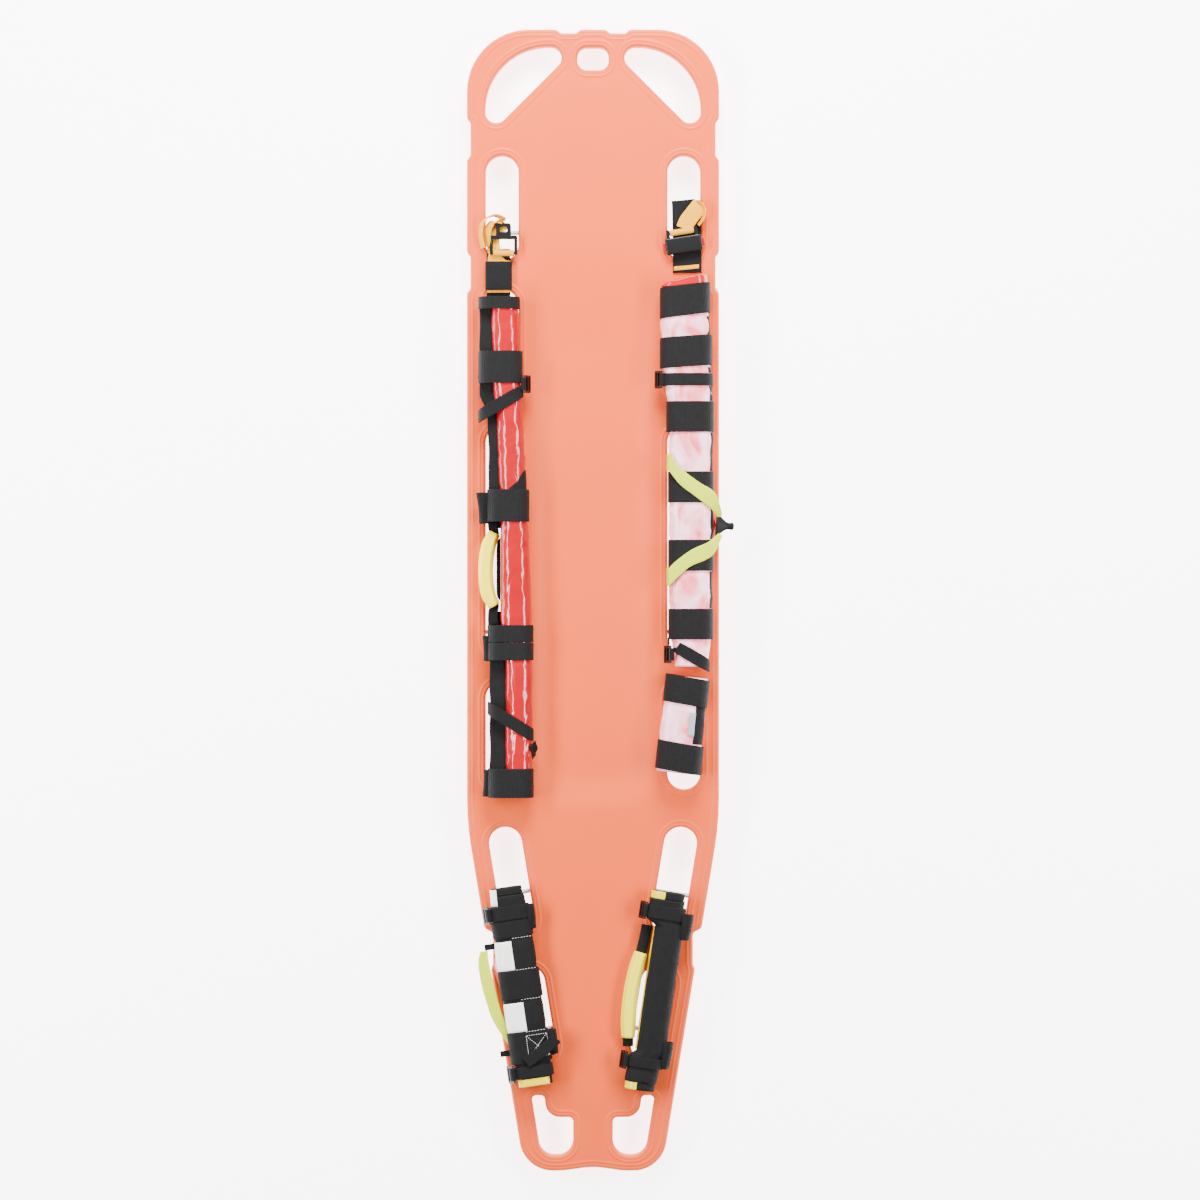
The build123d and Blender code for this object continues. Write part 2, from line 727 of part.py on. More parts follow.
def buckle():
    """Buckle half with two side buttons: housing, latch, springs and buttons, in the buckle's frame."""
    parts = {}
    body_y = -buckle_drop - buckle_length / 2
    body = Pos(0, body_y, 0) * Box(buckle_width, buckle_length, buckle_height)
    body = fillet(body.edges().filter_by(Axis.Z), buckle_wall)
    body = fillet(body.edges().filter_by(Axis.Y), buckle_wall)
    ear_length = buckle_drop + 2 * buckle_bar_radius
    ear_x = buckle_bar_length / 2 - buckle_ear / 2
    ear = Box(buckle_ear, ear_length + buckle_wall, 3 * buckle_bar_radius)
    ear_y = 2 * buckle_bar_radius - (ear_length + buckle_wall) / 2
    ears = [Pos(side * ear_x, ear_y, 0) * ear for side in (-1, 1)]
    bar = Rot(0, 90, 0) * Cylinder(buckle_bar_radius, buckle_bar_length - buckle_ear)
    cavity = Pos(0, body_y, 0) * Box(buckle_width - 4 * buckle_wall, buckle_length - 2 * buckle_wall,
                                     buckle_height - 2 * buckle_wall)
    port_height = tongue_thickness + 2 * clearance
    port = Pos(0, body_y - buckle_length / 2, 0) * Box(tongue_head_width + 2 * clearance, 3 * buckle_wall, port_height)
    window = Box(buckle_width * 2, button_length + 2 * clearance, button_height + 2 * clearance)
    side_windows = Pos(0, body_y, 0) * window
    guide_x = tongue_head_width / 2 + clearance + buckle_guide / 2
    guide = Box(buckle_guide, buckle_length - 2 * buckle_wall, buckle_height - 2 * buckle_wall)
    guides = [Pos(side * guide_x, body_y, 0) * guide for side in (-1, 1)]
    parts["right_buckle_housing"] = (body + ears + bar) - cavity - port - side_windows + guides
    button_depth = button_proud + 2 * buckle_wall
    for name, side in (("left", -1), ("right", 1)):
        cap = Box(button_depth, button_length, button_height)
        cap = fillet(cap.edges().filter_by(Axis.Z), buckle_wall / 2)
        cap_x = buckle_width / 2 + button_proud - button_depth / 2
        parts[f"right_buckle_button_{name}"] = Pos(side * cap_x, body_y, 0) * cap
    latch_width = tongue_head_width
    latch = Box(latch_width, tongue_blade_hole, webbing)
    parts["right_buckle_latch"] = Pos(0, body_y, -buckle_height / 2 + buckle_wall + webbing / 2) * latch
    spring_start = guide_x + buckle_guide / 2 + clearance
    spring_end = buckle_width / 2 + button_proud - button_depth - button_travel - clearance
    length = spring_end - spring_start
    ring = Circle(spring_radius) - Circle(spring_radius - spring_wire)
    spring = Rot(0, 90, 0) * Pos(0, 0, -length / 2) * extrude(ring, amount=length)
    springs = [Pos(side * (spring_start + length / 2), body_y, 0) * spring for side in (-1, 1)]
    parts["right_buckle_springs"] = Compound(children=springs)
    place = buckle_place()
    return {name: place * shape for name, shape in parts.items()}


def right_shoulder():
    """Right shoulder strap: black webbing under the buckle and the yellow webbing that holds its bar."""
    parts = {}
    length = right_shoulder_high - right_shoulder_low
    middle = (right_shoulder_high + right_shoulder_low) / 2
    lower_width = shoulder_width + shoulder_extra_width
    lower = Pos(right_shoulder_x, middle, rest + webbing / 2) * Box(lower_width, length, webbing)
    fold_length = right_shoulder_high - buckle_bar_y - shoulder_fold_gap
    fold_place = Pos(
        right_shoulder_x - shoulder_fold_shift,
        right_shoulder_high - fold_length / 2,
        rest + webbing + clearance + webbing / 2,
    )
    fold = fold_place * Box(shoulder_width, fold_length, webbing)
    parts["right_shoulder_webbing"] = Compound(children=[lower, fold])
    inner = buckle_bar_radius + clearance
    ring = Circle(inner + webbing) - Circle(inner)
    width = buckle_bar_length - 2 * buckle_ear - 2 * clearance
    loop = Rot(0, 90, 0) * Pos(0, 0, -width / 2) * extrude(ring, amount=width)
    loop = buckle_place() * loop
    folded = trace(FilletPolyline(*right_lobe_path, radius=lobe_bend), lobe_width)
    lobe = Pos(0, 0, rest + 2 * webbing + 2 * clearance) * extrude(folded, amount=lobe_height)
    parts["right_shoulder_yellow_webbing"] = Compound(children=[loop, lobe])
    return parts


def right_wrap():
    """Right long wrap down to its neck, with bands, adjusters, cord loop and red lining."""
    parts = {}
    height = long_roll_height
    parts["right_roll"] = rolled(right_roll_stations, height)
    top, left, right = right_roll_stations[0]
    lining = roll_section(left, right, height, top + clearance + right_lining_length)
    parts["right_lining"] = extrude(lining, amount=right_lining_length)
    bands = [tilted_hoop(right_roll_stations, height, y, length, tilt) for y, length, tilt in right_bands]
    parts["right_bands"] = Compound(children=bands)
    strap_x, strap_y, strap_angle = right_neck_strap
    spread = strap_width
    left, right = widest(right_roll_stations, strap_y + spread, strap_y - spread)
    parts["right_diagonal_strap"] = over_strap(left, right, height, strap_x, strap_y, strap_angle, 2 * spread)
    upper_edge, _ = widest(right_roll_stations, right_upper_lock_y + spread / 2, right_upper_lock_y - spread / 2)
    loops = []
    for name, y, edge in (("upper", right_upper_lock_y, upper_edge), ("lower", right_lower_lock_y, left)):
        place = flank_place(edge, height, -1, y)
        loops.append(place * lock_loop())
        parts[f"right_{name}_ladder_lock"] = place * ladder_lock()
    parts["right_lock_loops"] = Compound(children=loops)
    cord_y = right_lower_lock_y + lock_width / 2 + cord_loop_radius + cord_radius + clearance
    cord_x = edges_at(right_roll_stations, cord_y + 2 * cord_loop_radius)[0] - cord_radius - clearance
    cord = Rot(0, 90, 0) * Torus(cord_loop_radius, cord_radius)
    parts["right_cord_loop"] = Pos(cord_x, cord_y, roll_base + height / 2) * cord
    return parts


def right_lower_wrap():
    """Foot end of the right long wrap, turned at the neck."""
    parts = {}
    height = long_roll_height
    place = Pos(lower_roll_x, lower_roll_y, 0) * Rot(0, 0, lower_roll_angle)
    parts["right_lower_roll"] = rolled(lower_roll_stations, height)
    bands = [tilted_hoop(lower_roll_stations, height, y, length, tilt) for y, length, tilt in lower_bands]
    parts["right_lower_bands"] = Compound(children=bands)
    gap = clearance + lower_bands[0][1] / 2 + height * math.tan(math.radians(-lower_bands[0][2]))
    high = lower_bands[0][0] - gap
    low = lower_bands[1][0] + gap
    left, right = widest(lower_roll_stations, high, low)
    edge_left, edge_right = lower_edge
    strip = hoop(left, right, height, high, low)
    middle = roll_base + height / 2
    keep = Pos((edge_left + edge_right) / 2, (high + low) / 2, middle + height / 2)
    parts["right_edge_webbing"] = strip & (keep * Box(edge_right - edge_left, high - low, height))
    width, length, thickness = tab_size
    tab_z = roll_base + height + clearance + thickness / 2
    parts["right_tab"] = Pos(edge_left - width / 2 - clearance, (high + low) / 2, tab_z) * Box(width, length, thickness)
    return {name: place * shape for name, shape in parts.items()}


def grab_strap():
    """Lime webbing V over the right wrap, meeting in a black grip beyond the board's edge."""
    parts = {}
    sheet_z = roll_base + long_roll_height + band_growth + clearance + webbing / 2
    path = FilletPolyline(
        (grab_hinge_x, sheet_z), (grab_bend_x, sheet_z), (grab_tip_x, sheet_z - grab_drop), radius=grab_strap_width)
    profile = offset(path, amount=webbing / 2)
    span = grab_high_y - grab_low_y + 2 * grab_strap_width
    plane = across(0, (grab_high_y + grab_low_y + span) / 2, 0)
    sheet = extrude(plane * make_face(profile), amount=span)
    legs = []
    for far in (grab_high_y, grab_low_y):
        dx = grab_tip_x - grab_hinge_x
        near = grab_tip_y + math.copysign(grab_strap_width / 2, far - grab_tip_y)
        length = math.hypot(dx, near - far)
        angle = math.degrees(math.atan2(near - far, dx))
        middle = Pos((grab_tip_x + grab_hinge_x) / 2, (far + near) / 2, sheet_z)
        legs.append(middle * Rot(0, 0, angle) * Box(length + grab_strap_width, grab_strap_width, 4 * grab_drop))
    strap = sheet & (legs[0] + legs[1])
    parts["right_grab_strap"] = strap
    grip = Box(grab_grip_length, grab_grip_width, grab_grip_height)
    grip = fillet(grip.edges(), grab_grip_round)
    grip_x = grab_tip_x + webbing / 2 + clearance + grab_grip_length / 2
    parts["right_grab_grip"] = Pos(grip_x, grab_tip_y, sheet_z - grab_drop) * grip
    return parts


def foot_wrap(side, stations, bands, lock_rows, frame):
    """Foot wrap with its bands, end linings and two ladder locks on its outer flank."""
    parts = {}
    height = foot_roll_height
    parts[f"{side}_foot_roll"] = frame * rolled(stations, height)
    hoops = [tilted_hoop(stations, height, y, length, tilt) for y, length, tilt in bands]
    parts[f"{side}_foot_bands"] = frame * Compound(children=hoops)
    linings = []
    for row, start in ((stations[0], 1), (stations[-1], 0)):
        y, left, right = row
        edge = y + clearance + lining_length if start else y - clearance
        linings.append(extrude(roll_section(left, right, height, edge), amount=lining_length))
    parts[f"{side}_foot_lining"] = frame * Compound(children=linings)
    loops = []
    for name, y in zip(("upper", "lower"), lock_rows):
        edge = widest(stations, y + strap_width / 2, y - strap_width / 2)[0]
        pivot = frame * flank_place(edge, height, -1, y)
        loops.append(pivot * lock_loop())
        parts[f"{side}_foot_{name}_ladder_lock"] = pivot * ladder_lock()
    parts[f"{side}_foot_lock_loops"] = Compound(children=loops)
    return parts


def left_foot_extras(frame):
    """White panels on the left foot wrap and its lime webbing handle."""
    panels = []
    for y, length in left_foot_panels:
        left, right = widest(left_foot_stations, y + length / 2, y - length / 2)
        ring = hoop(left, right, foot_roll_height, y + length / 2, y - length / 2)
        width = (right - left) / 2
        keep = Pos(left + width / 2, y, roll_base + foot_roll_height) * Box(width, length, foot_roll_height)
        panels.append(ring & keep)
    high, low = foot_handle_rows
    handle_z = roll_base + foot_roll_height / 2
    middle = (foot_handle_x - foot_handle_bow, (high + low) / 2)
    band = SlotArc(ThreePointArc((foot_handle_x, high), middle, (foot_handle_x, low)), foot_handle_thickness)
    handle = Pos(0, 0, handle_z - foot_handle_width / 2) * extrude(band, amount=foot_handle_width)
    reach = foot_handle_thickness / 2 + clearance + foot_handle_tab / 2
    tabs = []
    under_band = left_foot_handle_band[1] / 2
    for y, growth, extra in ((high + reach, 0.0, 0.0), (low - reach, band_growth, under_band)):
        span = foot_handle_tab / 2 + extra
        near = widest(left_foot_stations, y + span, y - span)[0] - growth - clearance
        far = foot_handle_x - foot_handle_thickness
        tabs.append(Pos((near + far) / 2, y, handle_z) * Box(near - far, foot_handle_tab, webbing))
    return {
        "left_foot_panels": frame * Compound(children=panels),
        "left_foot_handle": frame * handle,
        "left_foot_handle_tabs": frame * Compound(children=tabs),
    }


def right_foot_extras(frame):
    """Moulded carrying handle beside the right foot wrap."""
    z = rest + grip_radius
    high, low = right_foot_handle_grip_ends
    grip = bowed_grip(right_foot_handle_axis_x, high, low, right_foot_handle_bow, z)
    tails = handle_tails(right_foot_handle_axis_x, right_foot_handle_ends, right_foot_handle_grip_ends, z)
    return {"right_foot_handle_grip": frame * grip, "right_foot_handle_webbing": frame * tails}


def main():
    os.makedirs("parts", exist_ok=True)
    shell, core, pins = board_pieces()
    pieces = {"board_shell": shell, "foam_core": core, "clip_pins": pins}
    for long_wrap in (left_wrap, left_shoulder):
        pieces.update(over_slots(long_wrap(), -1))
    for long_wrap in (buckle, right_shoulder, right_wrap, right_lower_wrap, grab_strap):
        pieces.update(over_slots(long_wrap(), 1))
    left = foot_frame(left_foot_axis, -1)
    right = foot_frame(right_foot_axis, 1)
    pieces.update(foot_wrap("left", left_foot_stations, left_foot_bands, left_foot_lock_rows, left))
    pieces.update(foot_wrap("right", right_foot_stations, right_foot_bands, right_foot_lock_rows, right))
    pieces.update(left_foot_extras(left))
    pieces.update(right_foot_extras(right))
    for name, shape in pieces.items():
        export_step(shape, f"parts/{name}.step")


main()
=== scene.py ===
"""Looks of a spine board with four stowed restraint wraps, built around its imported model.

Sizes are in millimetres, and mesh_object() turns them into metres. X runs to the board's right, Y to its head
and Z up. A wrap's cloth is a rolled bundle whose section is a stadium: two half rounds joined by flats.
"""

import json
import logging
import math
from dataclasses import dataclass, field
from enum import Enum
from typing import Sequence

import bmesh
import bpy
import numpy as np
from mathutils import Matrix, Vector
from mathutils.bvhtree import BVHTree
from mathutils.geometry import delaunay_2d_cdt
from mathutils.kdtree import KDTree

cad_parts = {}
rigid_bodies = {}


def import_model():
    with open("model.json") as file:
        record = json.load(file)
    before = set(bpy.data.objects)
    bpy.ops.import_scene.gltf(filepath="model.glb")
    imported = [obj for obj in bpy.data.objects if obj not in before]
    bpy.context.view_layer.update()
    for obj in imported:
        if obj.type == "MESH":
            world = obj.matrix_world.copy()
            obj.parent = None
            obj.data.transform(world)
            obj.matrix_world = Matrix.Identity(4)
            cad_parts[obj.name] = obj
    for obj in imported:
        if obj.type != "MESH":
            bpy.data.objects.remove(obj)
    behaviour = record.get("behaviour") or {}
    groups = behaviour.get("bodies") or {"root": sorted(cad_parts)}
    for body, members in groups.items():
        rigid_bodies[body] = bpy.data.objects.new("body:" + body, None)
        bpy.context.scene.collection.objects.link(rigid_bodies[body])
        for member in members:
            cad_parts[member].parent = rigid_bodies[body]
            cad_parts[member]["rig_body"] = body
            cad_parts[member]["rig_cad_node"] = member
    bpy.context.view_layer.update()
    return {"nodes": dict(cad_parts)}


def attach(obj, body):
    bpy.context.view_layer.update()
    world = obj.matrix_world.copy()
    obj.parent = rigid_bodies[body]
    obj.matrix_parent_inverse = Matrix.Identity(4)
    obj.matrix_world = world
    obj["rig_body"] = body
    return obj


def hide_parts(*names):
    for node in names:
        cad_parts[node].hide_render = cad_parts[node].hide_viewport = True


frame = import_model()

LOG = logging.getLogger("spine_board")
MM = 0.001

# Underside of what lies on the board, and of the rolls on their webbing
REST = 45.3
ROLL_BASE = 47.6

# Thickness of the webbing, and heights of the long rolls and the foot rolls
WEBBING = 2.0
LONG_HEIGHT = 38.0
FOOT_HEIGHT = 34.0

# Pixel of the reference picture over the board's middle, and the length of a pixel
PLAN_MIDDLE = (593.0, 600.2)
PLAN_STEP = 1.6013

Array = np.ndarray
Stations = Sequence[tuple[float, float, float]]
PlanLine = Sequence[tuple[float, float]]


class Side(Enum):
    """Which side of the board a piece lies on."""

    LEFT = -1
    RIGHT = 1


# Numbers and surfaces


def linear(red: int, green: int, blue: int) -> tuple[float, float, float, float]:
    """Screen colour from 0 to 255 as the linear colour that a shader takes.

    Args:
        red: Red of the screen colour.
        green: Green of the screen colour.
        blue: Blue of the screen colour.

    Returns:
        Linear red, green, blue and an alpha of 1.
    """
    screen = np.array([red, green, blue]) / 255.0
    curve = np.where(screen <= 0.04045, screen / 12.92, ((screen + 0.055) / 1.055) ** 2.4)
    return (*[float(value) for value in curve], 1.0)


def smooth(value: Array) -> Array:
    """Clamps to 0..1 and eases both ends: 3t^2 - 2t^3."""
    t = np.clip(value, 0.0, 1.0)
    return t * t * (3.0 - 2.0 * t)


def lattice(x: Array, y: Array, seed: int) -> Array:
    """Fixed pseudo-random numbers from -1 to 1 on whole-number points."""
    mixed = np.sin(x * 127.1 + y * 311.7 + seed * 74.7) * 43758.5453
    return 2.0 * (mixed - np.floor(mixed)) - 1.0


def noise(x: Array, y: Array, seed: int) -> Array:
    """Smooth value noise: lattice numbers blended with eased weights in both directions.

    Args:
        x: First coordinate, in lattice steps.
        y: Second coordinate, in lattice steps.
        seed: Number that picks the pattern.

    Returns:
        Noise from -1 to 1, of the shape of x and y.
    """
    x0, y0 = np.floor(x), np.floor(y)
    fx, fy = smooth(x - x0), smooth(y - y0)
    low = lattice(x0, y0, seed) * (1 - fx) + lattice(x0 + 1, y0, seed) * fx
    high = lattice(x0, y0 + 1, seed) * (1 - fx) + lattice(x0 + 1, y0 + 1, seed) * fx
    return low * (1 - fy) + high * fy


def creases(x: Array, y: Array, seed: int) -> Array:
    """Soft folds with sharp crests: one minus the size of warped noise, in two octaves.

    Args:
        x: First coordinate, in fold widths.
        y: Second coordinate, in fold lengths.
        seed: Number that picks the pattern.

    Returns:
        Heights from about -0.6 to 0.6.
    """
    wx = x + 0.7 * noise(x * 0.9 + 5.0, y * 0.9, seed + 1)
    wy = y + 0.7 * noise(x * 0.8, y * 1.1 + 9.0, seed + 2)
    broad = 1.0 - 2.0 * np.sqrt(np.abs(noise(wx, wy, seed)) + 0.02)
    fine = 1.0 - 2.0 * np.sqrt(np.abs(noise(2.3 * wx, 2.1 * wy, seed + 3)) + 0.02)
    return 0.62 * broad + 0.25 * fine + 0.1


@dataclass
class Surface:
    """Grid of points with a map in millimetres: rows run along a piece and columns around or across it."""

    points: Array
    chart: Array
    closed_rows: bool = False
    closed_cols: bool = False
    capped: bool = False

    def faces(self) -> tuple[list[list[int]], list[Array]]:
        """Joins the grid with quads, and closes open tube ends with one face each.

        Returns:
            Corner indices of each face, and the map's place of each corner.
        """
        rows, cols = self.points.shape[:2]
        r = np.arange(rows if self.closed_rows else rows - 1)
        c = np.arange(cols if self.closed_cols else cols - 1)
        a, b = (g.ravel() for g in np.meshgrid(r, c, indexing="ij"))
        near, far = b, b + 1
        quads = np.stack([
            a * cols + near, a * cols + far % cols,
            (a + 1) % rows * cols + far % cols, (a + 1) % rows * cols + near,
        ], axis=1)
        chart = self.chart
        places = np.stack([chart[a, near], chart[a, far], chart[a + 1, far], chart[a + 1, near]], axis=1)
        faces = quads.tolist()
        maps = [places.reshape(-1, 2)]
        if self.capped:
            for row, order in ((0, slice(None, None, -1)), (rows - 1, slice(None))):
                faces.append((np.arange(cols)[order] + row * cols).tolist())
                maps.append(chart[row, :cols][order])
        return faces, maps


def chart_of(points: Array, closed_rows: bool = False, closed_cols: bool = False) -> Array:
    """Map of a grid: distance along its rows and around its columns.

    Args:
        points: Grid of points, rows by columns by 3.
        closed_rows: Whether the last row joins the first.
        closed_cols: Whether the last column joins the first.

    Returns:
        Grid of places, one longer in each closed direction.
    """
    grid = points
    if closed_rows:
        grid = np.concatenate([grid, grid[:1]], axis=0)
    if closed_cols:
        grid = np.concatenate([grid, grid[:, :1]], axis=1)
    middle = grid[:, grid.shape[1] // 2]
    along = np.concatenate([[0.0], np.cumsum(np.linalg.norm(np.diff(middle, axis=0), axis=1))])
    line = grid[grid.shape[0] // 2]
    around = np.concatenate([[0.0], np.cumsum(np.linalg.norm(np.diff(line, axis=0), axis=1))])
    u, v = np.meshgrid(along, around, indexing="ij")
    return np.stack([u, v], axis=2)


def mesh_object(name: str, surfaces: Sequence[Surface], material: bpy.types.Material) -> bpy.types.Object:
    """Makes one object of several surfaces, with outward faces, smooth shading and a map in metres.

    Args:
        name: Name of the object.
        surfaces: Surfaces in millimetres.
        material: Its finish.

    Returns:
        The new object, at the origin.
    """
    vertices, faces, places, first = [], [], [], 0
    for surface in surfaces:
        count = surface.points.shape[0] * surface.points.shape[1]
        own, maps = surface.faces()
        faces += [[first + corner for corner in face] for face in own]
        vertices.append(surface.points.reshape(-1, 3))
        places += maps
        first += count
    mesh = bpy.data.meshes.new(name)
    mesh.from_pydata((np.concatenate(vertices) * MM).tolist(), [], faces)
    layer = mesh.uv_layers.new(name="UVMap")
    layer.data.foreach_set("uv", (np.concatenate(places) * MM).astype(np.float32).ravel())
    obj = bpy.data.objects.new(name, mesh)
    bpy.context.scene.collection.objects.link(obj)
    finish_mesh(obj)
    mesh.materials.append(material)
    return obj


def finish_mesh(obj: bpy.types.Object, weld: float = 1e-6) -> None:
    """Merges doubles, turns faces outwards and shades smooth."""
    work = bmesh.new()
    work.from_mesh(obj.data)
    bmesh.ops.remove_doubles(work, verts=work.verts, dist=weld)
    bmesh.ops.dissolve_degenerate(work, edges=work.edges, dist=weld / 10)
    bmesh.ops.recalc_face_normals(work, faces=work.faces)
    work.to_mesh(obj.data)
    work.free()
    obj.data.shade_smooth()


def directions(path: Array, closed: bool) -> Array:
    """Unit tangents of a path, from the points on each side."""
    if closed:
        step = np.roll(path, -1, axis=0) - np.roll(path, 1, axis=0)
    else:
        step = np.gradient(path, axis=0)
    return step / np.maximum(np.linalg.norm(step, axis=1, keepdims=True), 1e-9)


def spline(points: Sequence[Sequence[float]], count: int) -> Array:
    """Catmull-Rom curve through points, evenly spaced along its length.

    Args:
        points: Points that the curve passes through.
        count: Number of points on the curve.

    Returns:
        Curve points, count by 3.
    """
    knots = np.array(points, float)
    padded = np.vstack([2 * knots[0] - knots[1], knots, 2 * knots[-1] - knots[-2]])
    t = np.linspace(0, 1, 24, endpoint=False)[:, None]
    runs = []
    for p0, p1, p2, p3 in zip(padded, padded[1:], padded[2:], padded[3:]):
        runs.append(0.5 * (2 * p1 + (p2 - p0) * t + (2 * p0 - 5 * p1 + 4 * p2 - p3) * t**2
                           + (3 * p1 - p0 - 3 * p2 + p3) * t**3))
    curve = np.vstack([*runs, knots[-1:]])
    length = np.concatenate([[0.0], np.cumsum(np.linalg.norm(np.diff(curve, axis=0), axis=1))])
    even = np.linspace(0.0, length[-1], count)
    return np.stack([np.interp(even, length, curve[:, axis]) for axis in range(3)], axis=1)


def strap_section(width: float, thickness: float, across: int = 7) -> Array:
    """Section of flat webbing: two flats with round selvages that stand slightly proud.

    Args:
        width: Width of the webbing.
        thickness: Its thickness.
        across: Points on each flat.

    Returns:
        Closed loop of points: place across the width and height.
    """
    half, rise = width / 2, thickness / 2
    flat = np.linspace(-half + rise, half - rise, across)
    bead = 1.0 + 0.12 * smooth((np.abs(flat) - half + 2.2 * thickness) / thickness)
    top = np.stack([flat, rise * bead], axis=1)
    turn = np.radians([60.0, 20.0, -20.0, -60.0])
    right = np.stack([half - rise + rise * np.cos(turn), rise * np.sin(turn) * 1.1], axis=1)
    bottom = np.stack([flat[::-1], -rise * np.ones(across)], axis=1)
    left = np.stack([-half + rise - rise * np.cos(turn), -rise * np.sin(turn) * 1.1], axis=1)
    return np.vstack([top, right, bottom, left])


def strap(path: Array, width_axis: Array, width: float, thickness: float = WEBBING, closed: bool = False,
          curl: float = 0.0, seed: int = 0) -> Surface:
    """Webbing of one width swept along a path, with its faces square to the width axis.

    Args:
        path: Points of its middle line.
        width_axis: Direction of its width, one for all or one for each point.
        width: Width of the webbing.
        thickness: Its thickness.
        closed: Whether it is a loop.
        curl: Height by which its middle stands over its edges.
        seed: Number that picks its small unevenness.

    Returns:
        The webbing's surface.
    """
    tangent = directions(path, closed)
    axis = np.broadcast_to(np.asarray(width_axis, float), path.shape)
    axis = axis - tangent * np.sum(axis * tangent, axis=1, keepdims=True)
    axis = axis / np.linalg.norm(axis, axis=1, keepdims=True)
    normal = np.cross(axis, tangent)
    section = strap_section(width, thickness)
    lift = curl * (1.0 - (2.0 * section[:, 0] / width) ** 2)
    length = np.linspace(0.0, len(path) / 9.0, len(path))[:, None]
    uneven = 0.12 * noise(length + np.zeros(len(section)), section[None, :, 0] / 9.0, seed + 40)
    height = section[None, :, 1] + lift[None, :] + uneven
    points = path[:, None] + axis[:, None] * section[None, :, :1] + normal[:, None] * height[:, :, None]
    return Surface(points, chart_of(points, closed, True), closed_rows=closed, closed_cols=True,
                   capped=not closed)


def ribbon(first: Sequence[Sequence[float]], second: Sequence[Sequence[float]], thickness: float = 1.9,
           count: int = 60, curl: float = 0.0, seed: int = 0) -> Surface:
    """Cloth of changing width between two edge curves: middle plus half the width times a share across it.

    Args:
        first: Points of one edge.
        second: Points of the other edge.
        thickness: Thickness of the cloth.
        count: Rows along it.
        curl: Height by which its middle stands over its edges.
        seed: Number that picks its small unevenness.

    Returns:
        The ribbon's surface, closed at its ends.
    """
    one, two = spline(first, count), spline(second, count)
    middle, half = (one + two) / 2, (two - one) / 2
    normal = np.cross(half, directions(middle, False))
    normal /= np.maximum(np.linalg.norm(normal, axis=1, keepdims=True), 1e-9)
    normal *= np.where(normal[:, 2:] < 0.0, -1.0, 1.0)
    section = strap_section(20.0, thickness, 9)
    share = section[:, 0] / 10.0
    ripple = 0.18 * noise(np.linspace(0.0, count / 7.0, count)[:, None] + 0.0 * share, 2.0 * share[None, :],
                          seed)
    height = section[None, :, 1] + curl * (1.0 - share[None, :] ** 2) + ripple
    points = middle[:, None] + half[:, None] * share[None, :, None] + normal[:, None] * height[:, :, None]
    return Surface(points, chart_of(points, False, True), closed_cols=True, capped=True)


def plan_line(points: PlanLine, heights: Sequence[float]) -> list[tuple[float, float, float]]:
    """Line that is given in pixels of the reference picture, in millimetres.

    Args:
        points: Column and row of each point.
        heights: Height of each point.

    Returns:
        The points: column less the middle column and middle row less the row, times a pixel's length.
    """
    column, row = PLAN_MIDDLE
    return [((x - column) * PLAN_STEP, (row - y) * PLAN_STEP, z) for (x, y), z in zip(points, heights)]


def tube(path: Array, radii: Array, sides: int = 32, ribs: int = 0, rib_height: float = 0.0,
         flatten: float = 1.0) -> Surface:
    """Round bar of changing radius along a path, with lengthwise ribs: radius plus height times cos(n angle).

    Args:
        path: Points of its middle line.
        radii: Radius at each point.
        sides: Points around it.
        ribs: Number of ribs around it.
        rib_height: Height of the ribs.
        flatten: Share of its height that is kept.

    Returns:
        The bar's surface, closed at its ends.
    """
    tangent = directions(path, False)
    across = np.cross(tangent, np.array([0.0, 0.0, 1.0]))
    across /= np.linalg.norm(across, axis=1, keepdims=True)
    up = np.cross(across, tangent)
    angle = np.linspace(0.0, 2 * math.pi, sides, endpoint=False)
    rib = rib_height * np.cos(ribs * angle)[None, :]
    radius = radii[:, None] + rib * smooth((radii / radii.max())[:, None])
    points = path[:, None] + across[:, None] * (radius * np.cos(angle))[:, :, None]
    points = points + up[:, None] * (radius * np.sin(angle) * flatten)[:, :, None]
    return Surface(points, chart_of(points, False, True), closed_cols=True, capped=True)


def edges_at(stations: Stations, y: Array) -> tuple[Array, Array]:
    """Left and right edge of a bundle at y, straight between its stations."""
    rows = np.array(sorted(stations))
    return np.interp(y, rows[:, 0], rows[:, 1]), np.interp(y, rows[:, 0], rows[:, 2])


def stadium(left: Array, right: Array, height: float, share: Array, offset: Array,
            base: float = ROLL_BASE) -> tuple[Array, Array]:
    """Points of a stadium section by share of its girth: 0 bottom middle, 0.25 left, 0.5 top, 0.75 right.

    Args:
        left: Left edge of the bundle.
        right: Right edge of the bundle.
        height: Height of the bundle.
        share: Share of the girth.
        offset: Distance outside the bundle.
        base: Height of the bundle's underside.

    Returns:
        X and Z of the points.
    """
    radius = height / 2 + offset
    straight = np.maximum((right - left - height) / 2, 0.0)
    middle = (left + right) / 2
    quarter = math.pi * radius / 2
    half_girth = 2 * straight + 2 * quarter
    fold = np.where(share % 1.0 <= 0.5, share % 1.0, 1.0 - share % 1.0)
    side = np.where(share % 1.0 <= 0.5, -1.0, 1.0)
    run = fold * 2 * half_girth
    angle = np.clip((run - straight) / radius, 0.0, math.pi)
    flat_low = np.minimum(run, straight)
    flat_high = np.maximum(run - straight - 2 * quarter, 0.0)
    reach = flat_low + radius * np.sin(angle) - flat_high
    x = middle + side * reach
    z = base + height / 2 - radius * np.cos(angle)
    return x, z


# Finishes


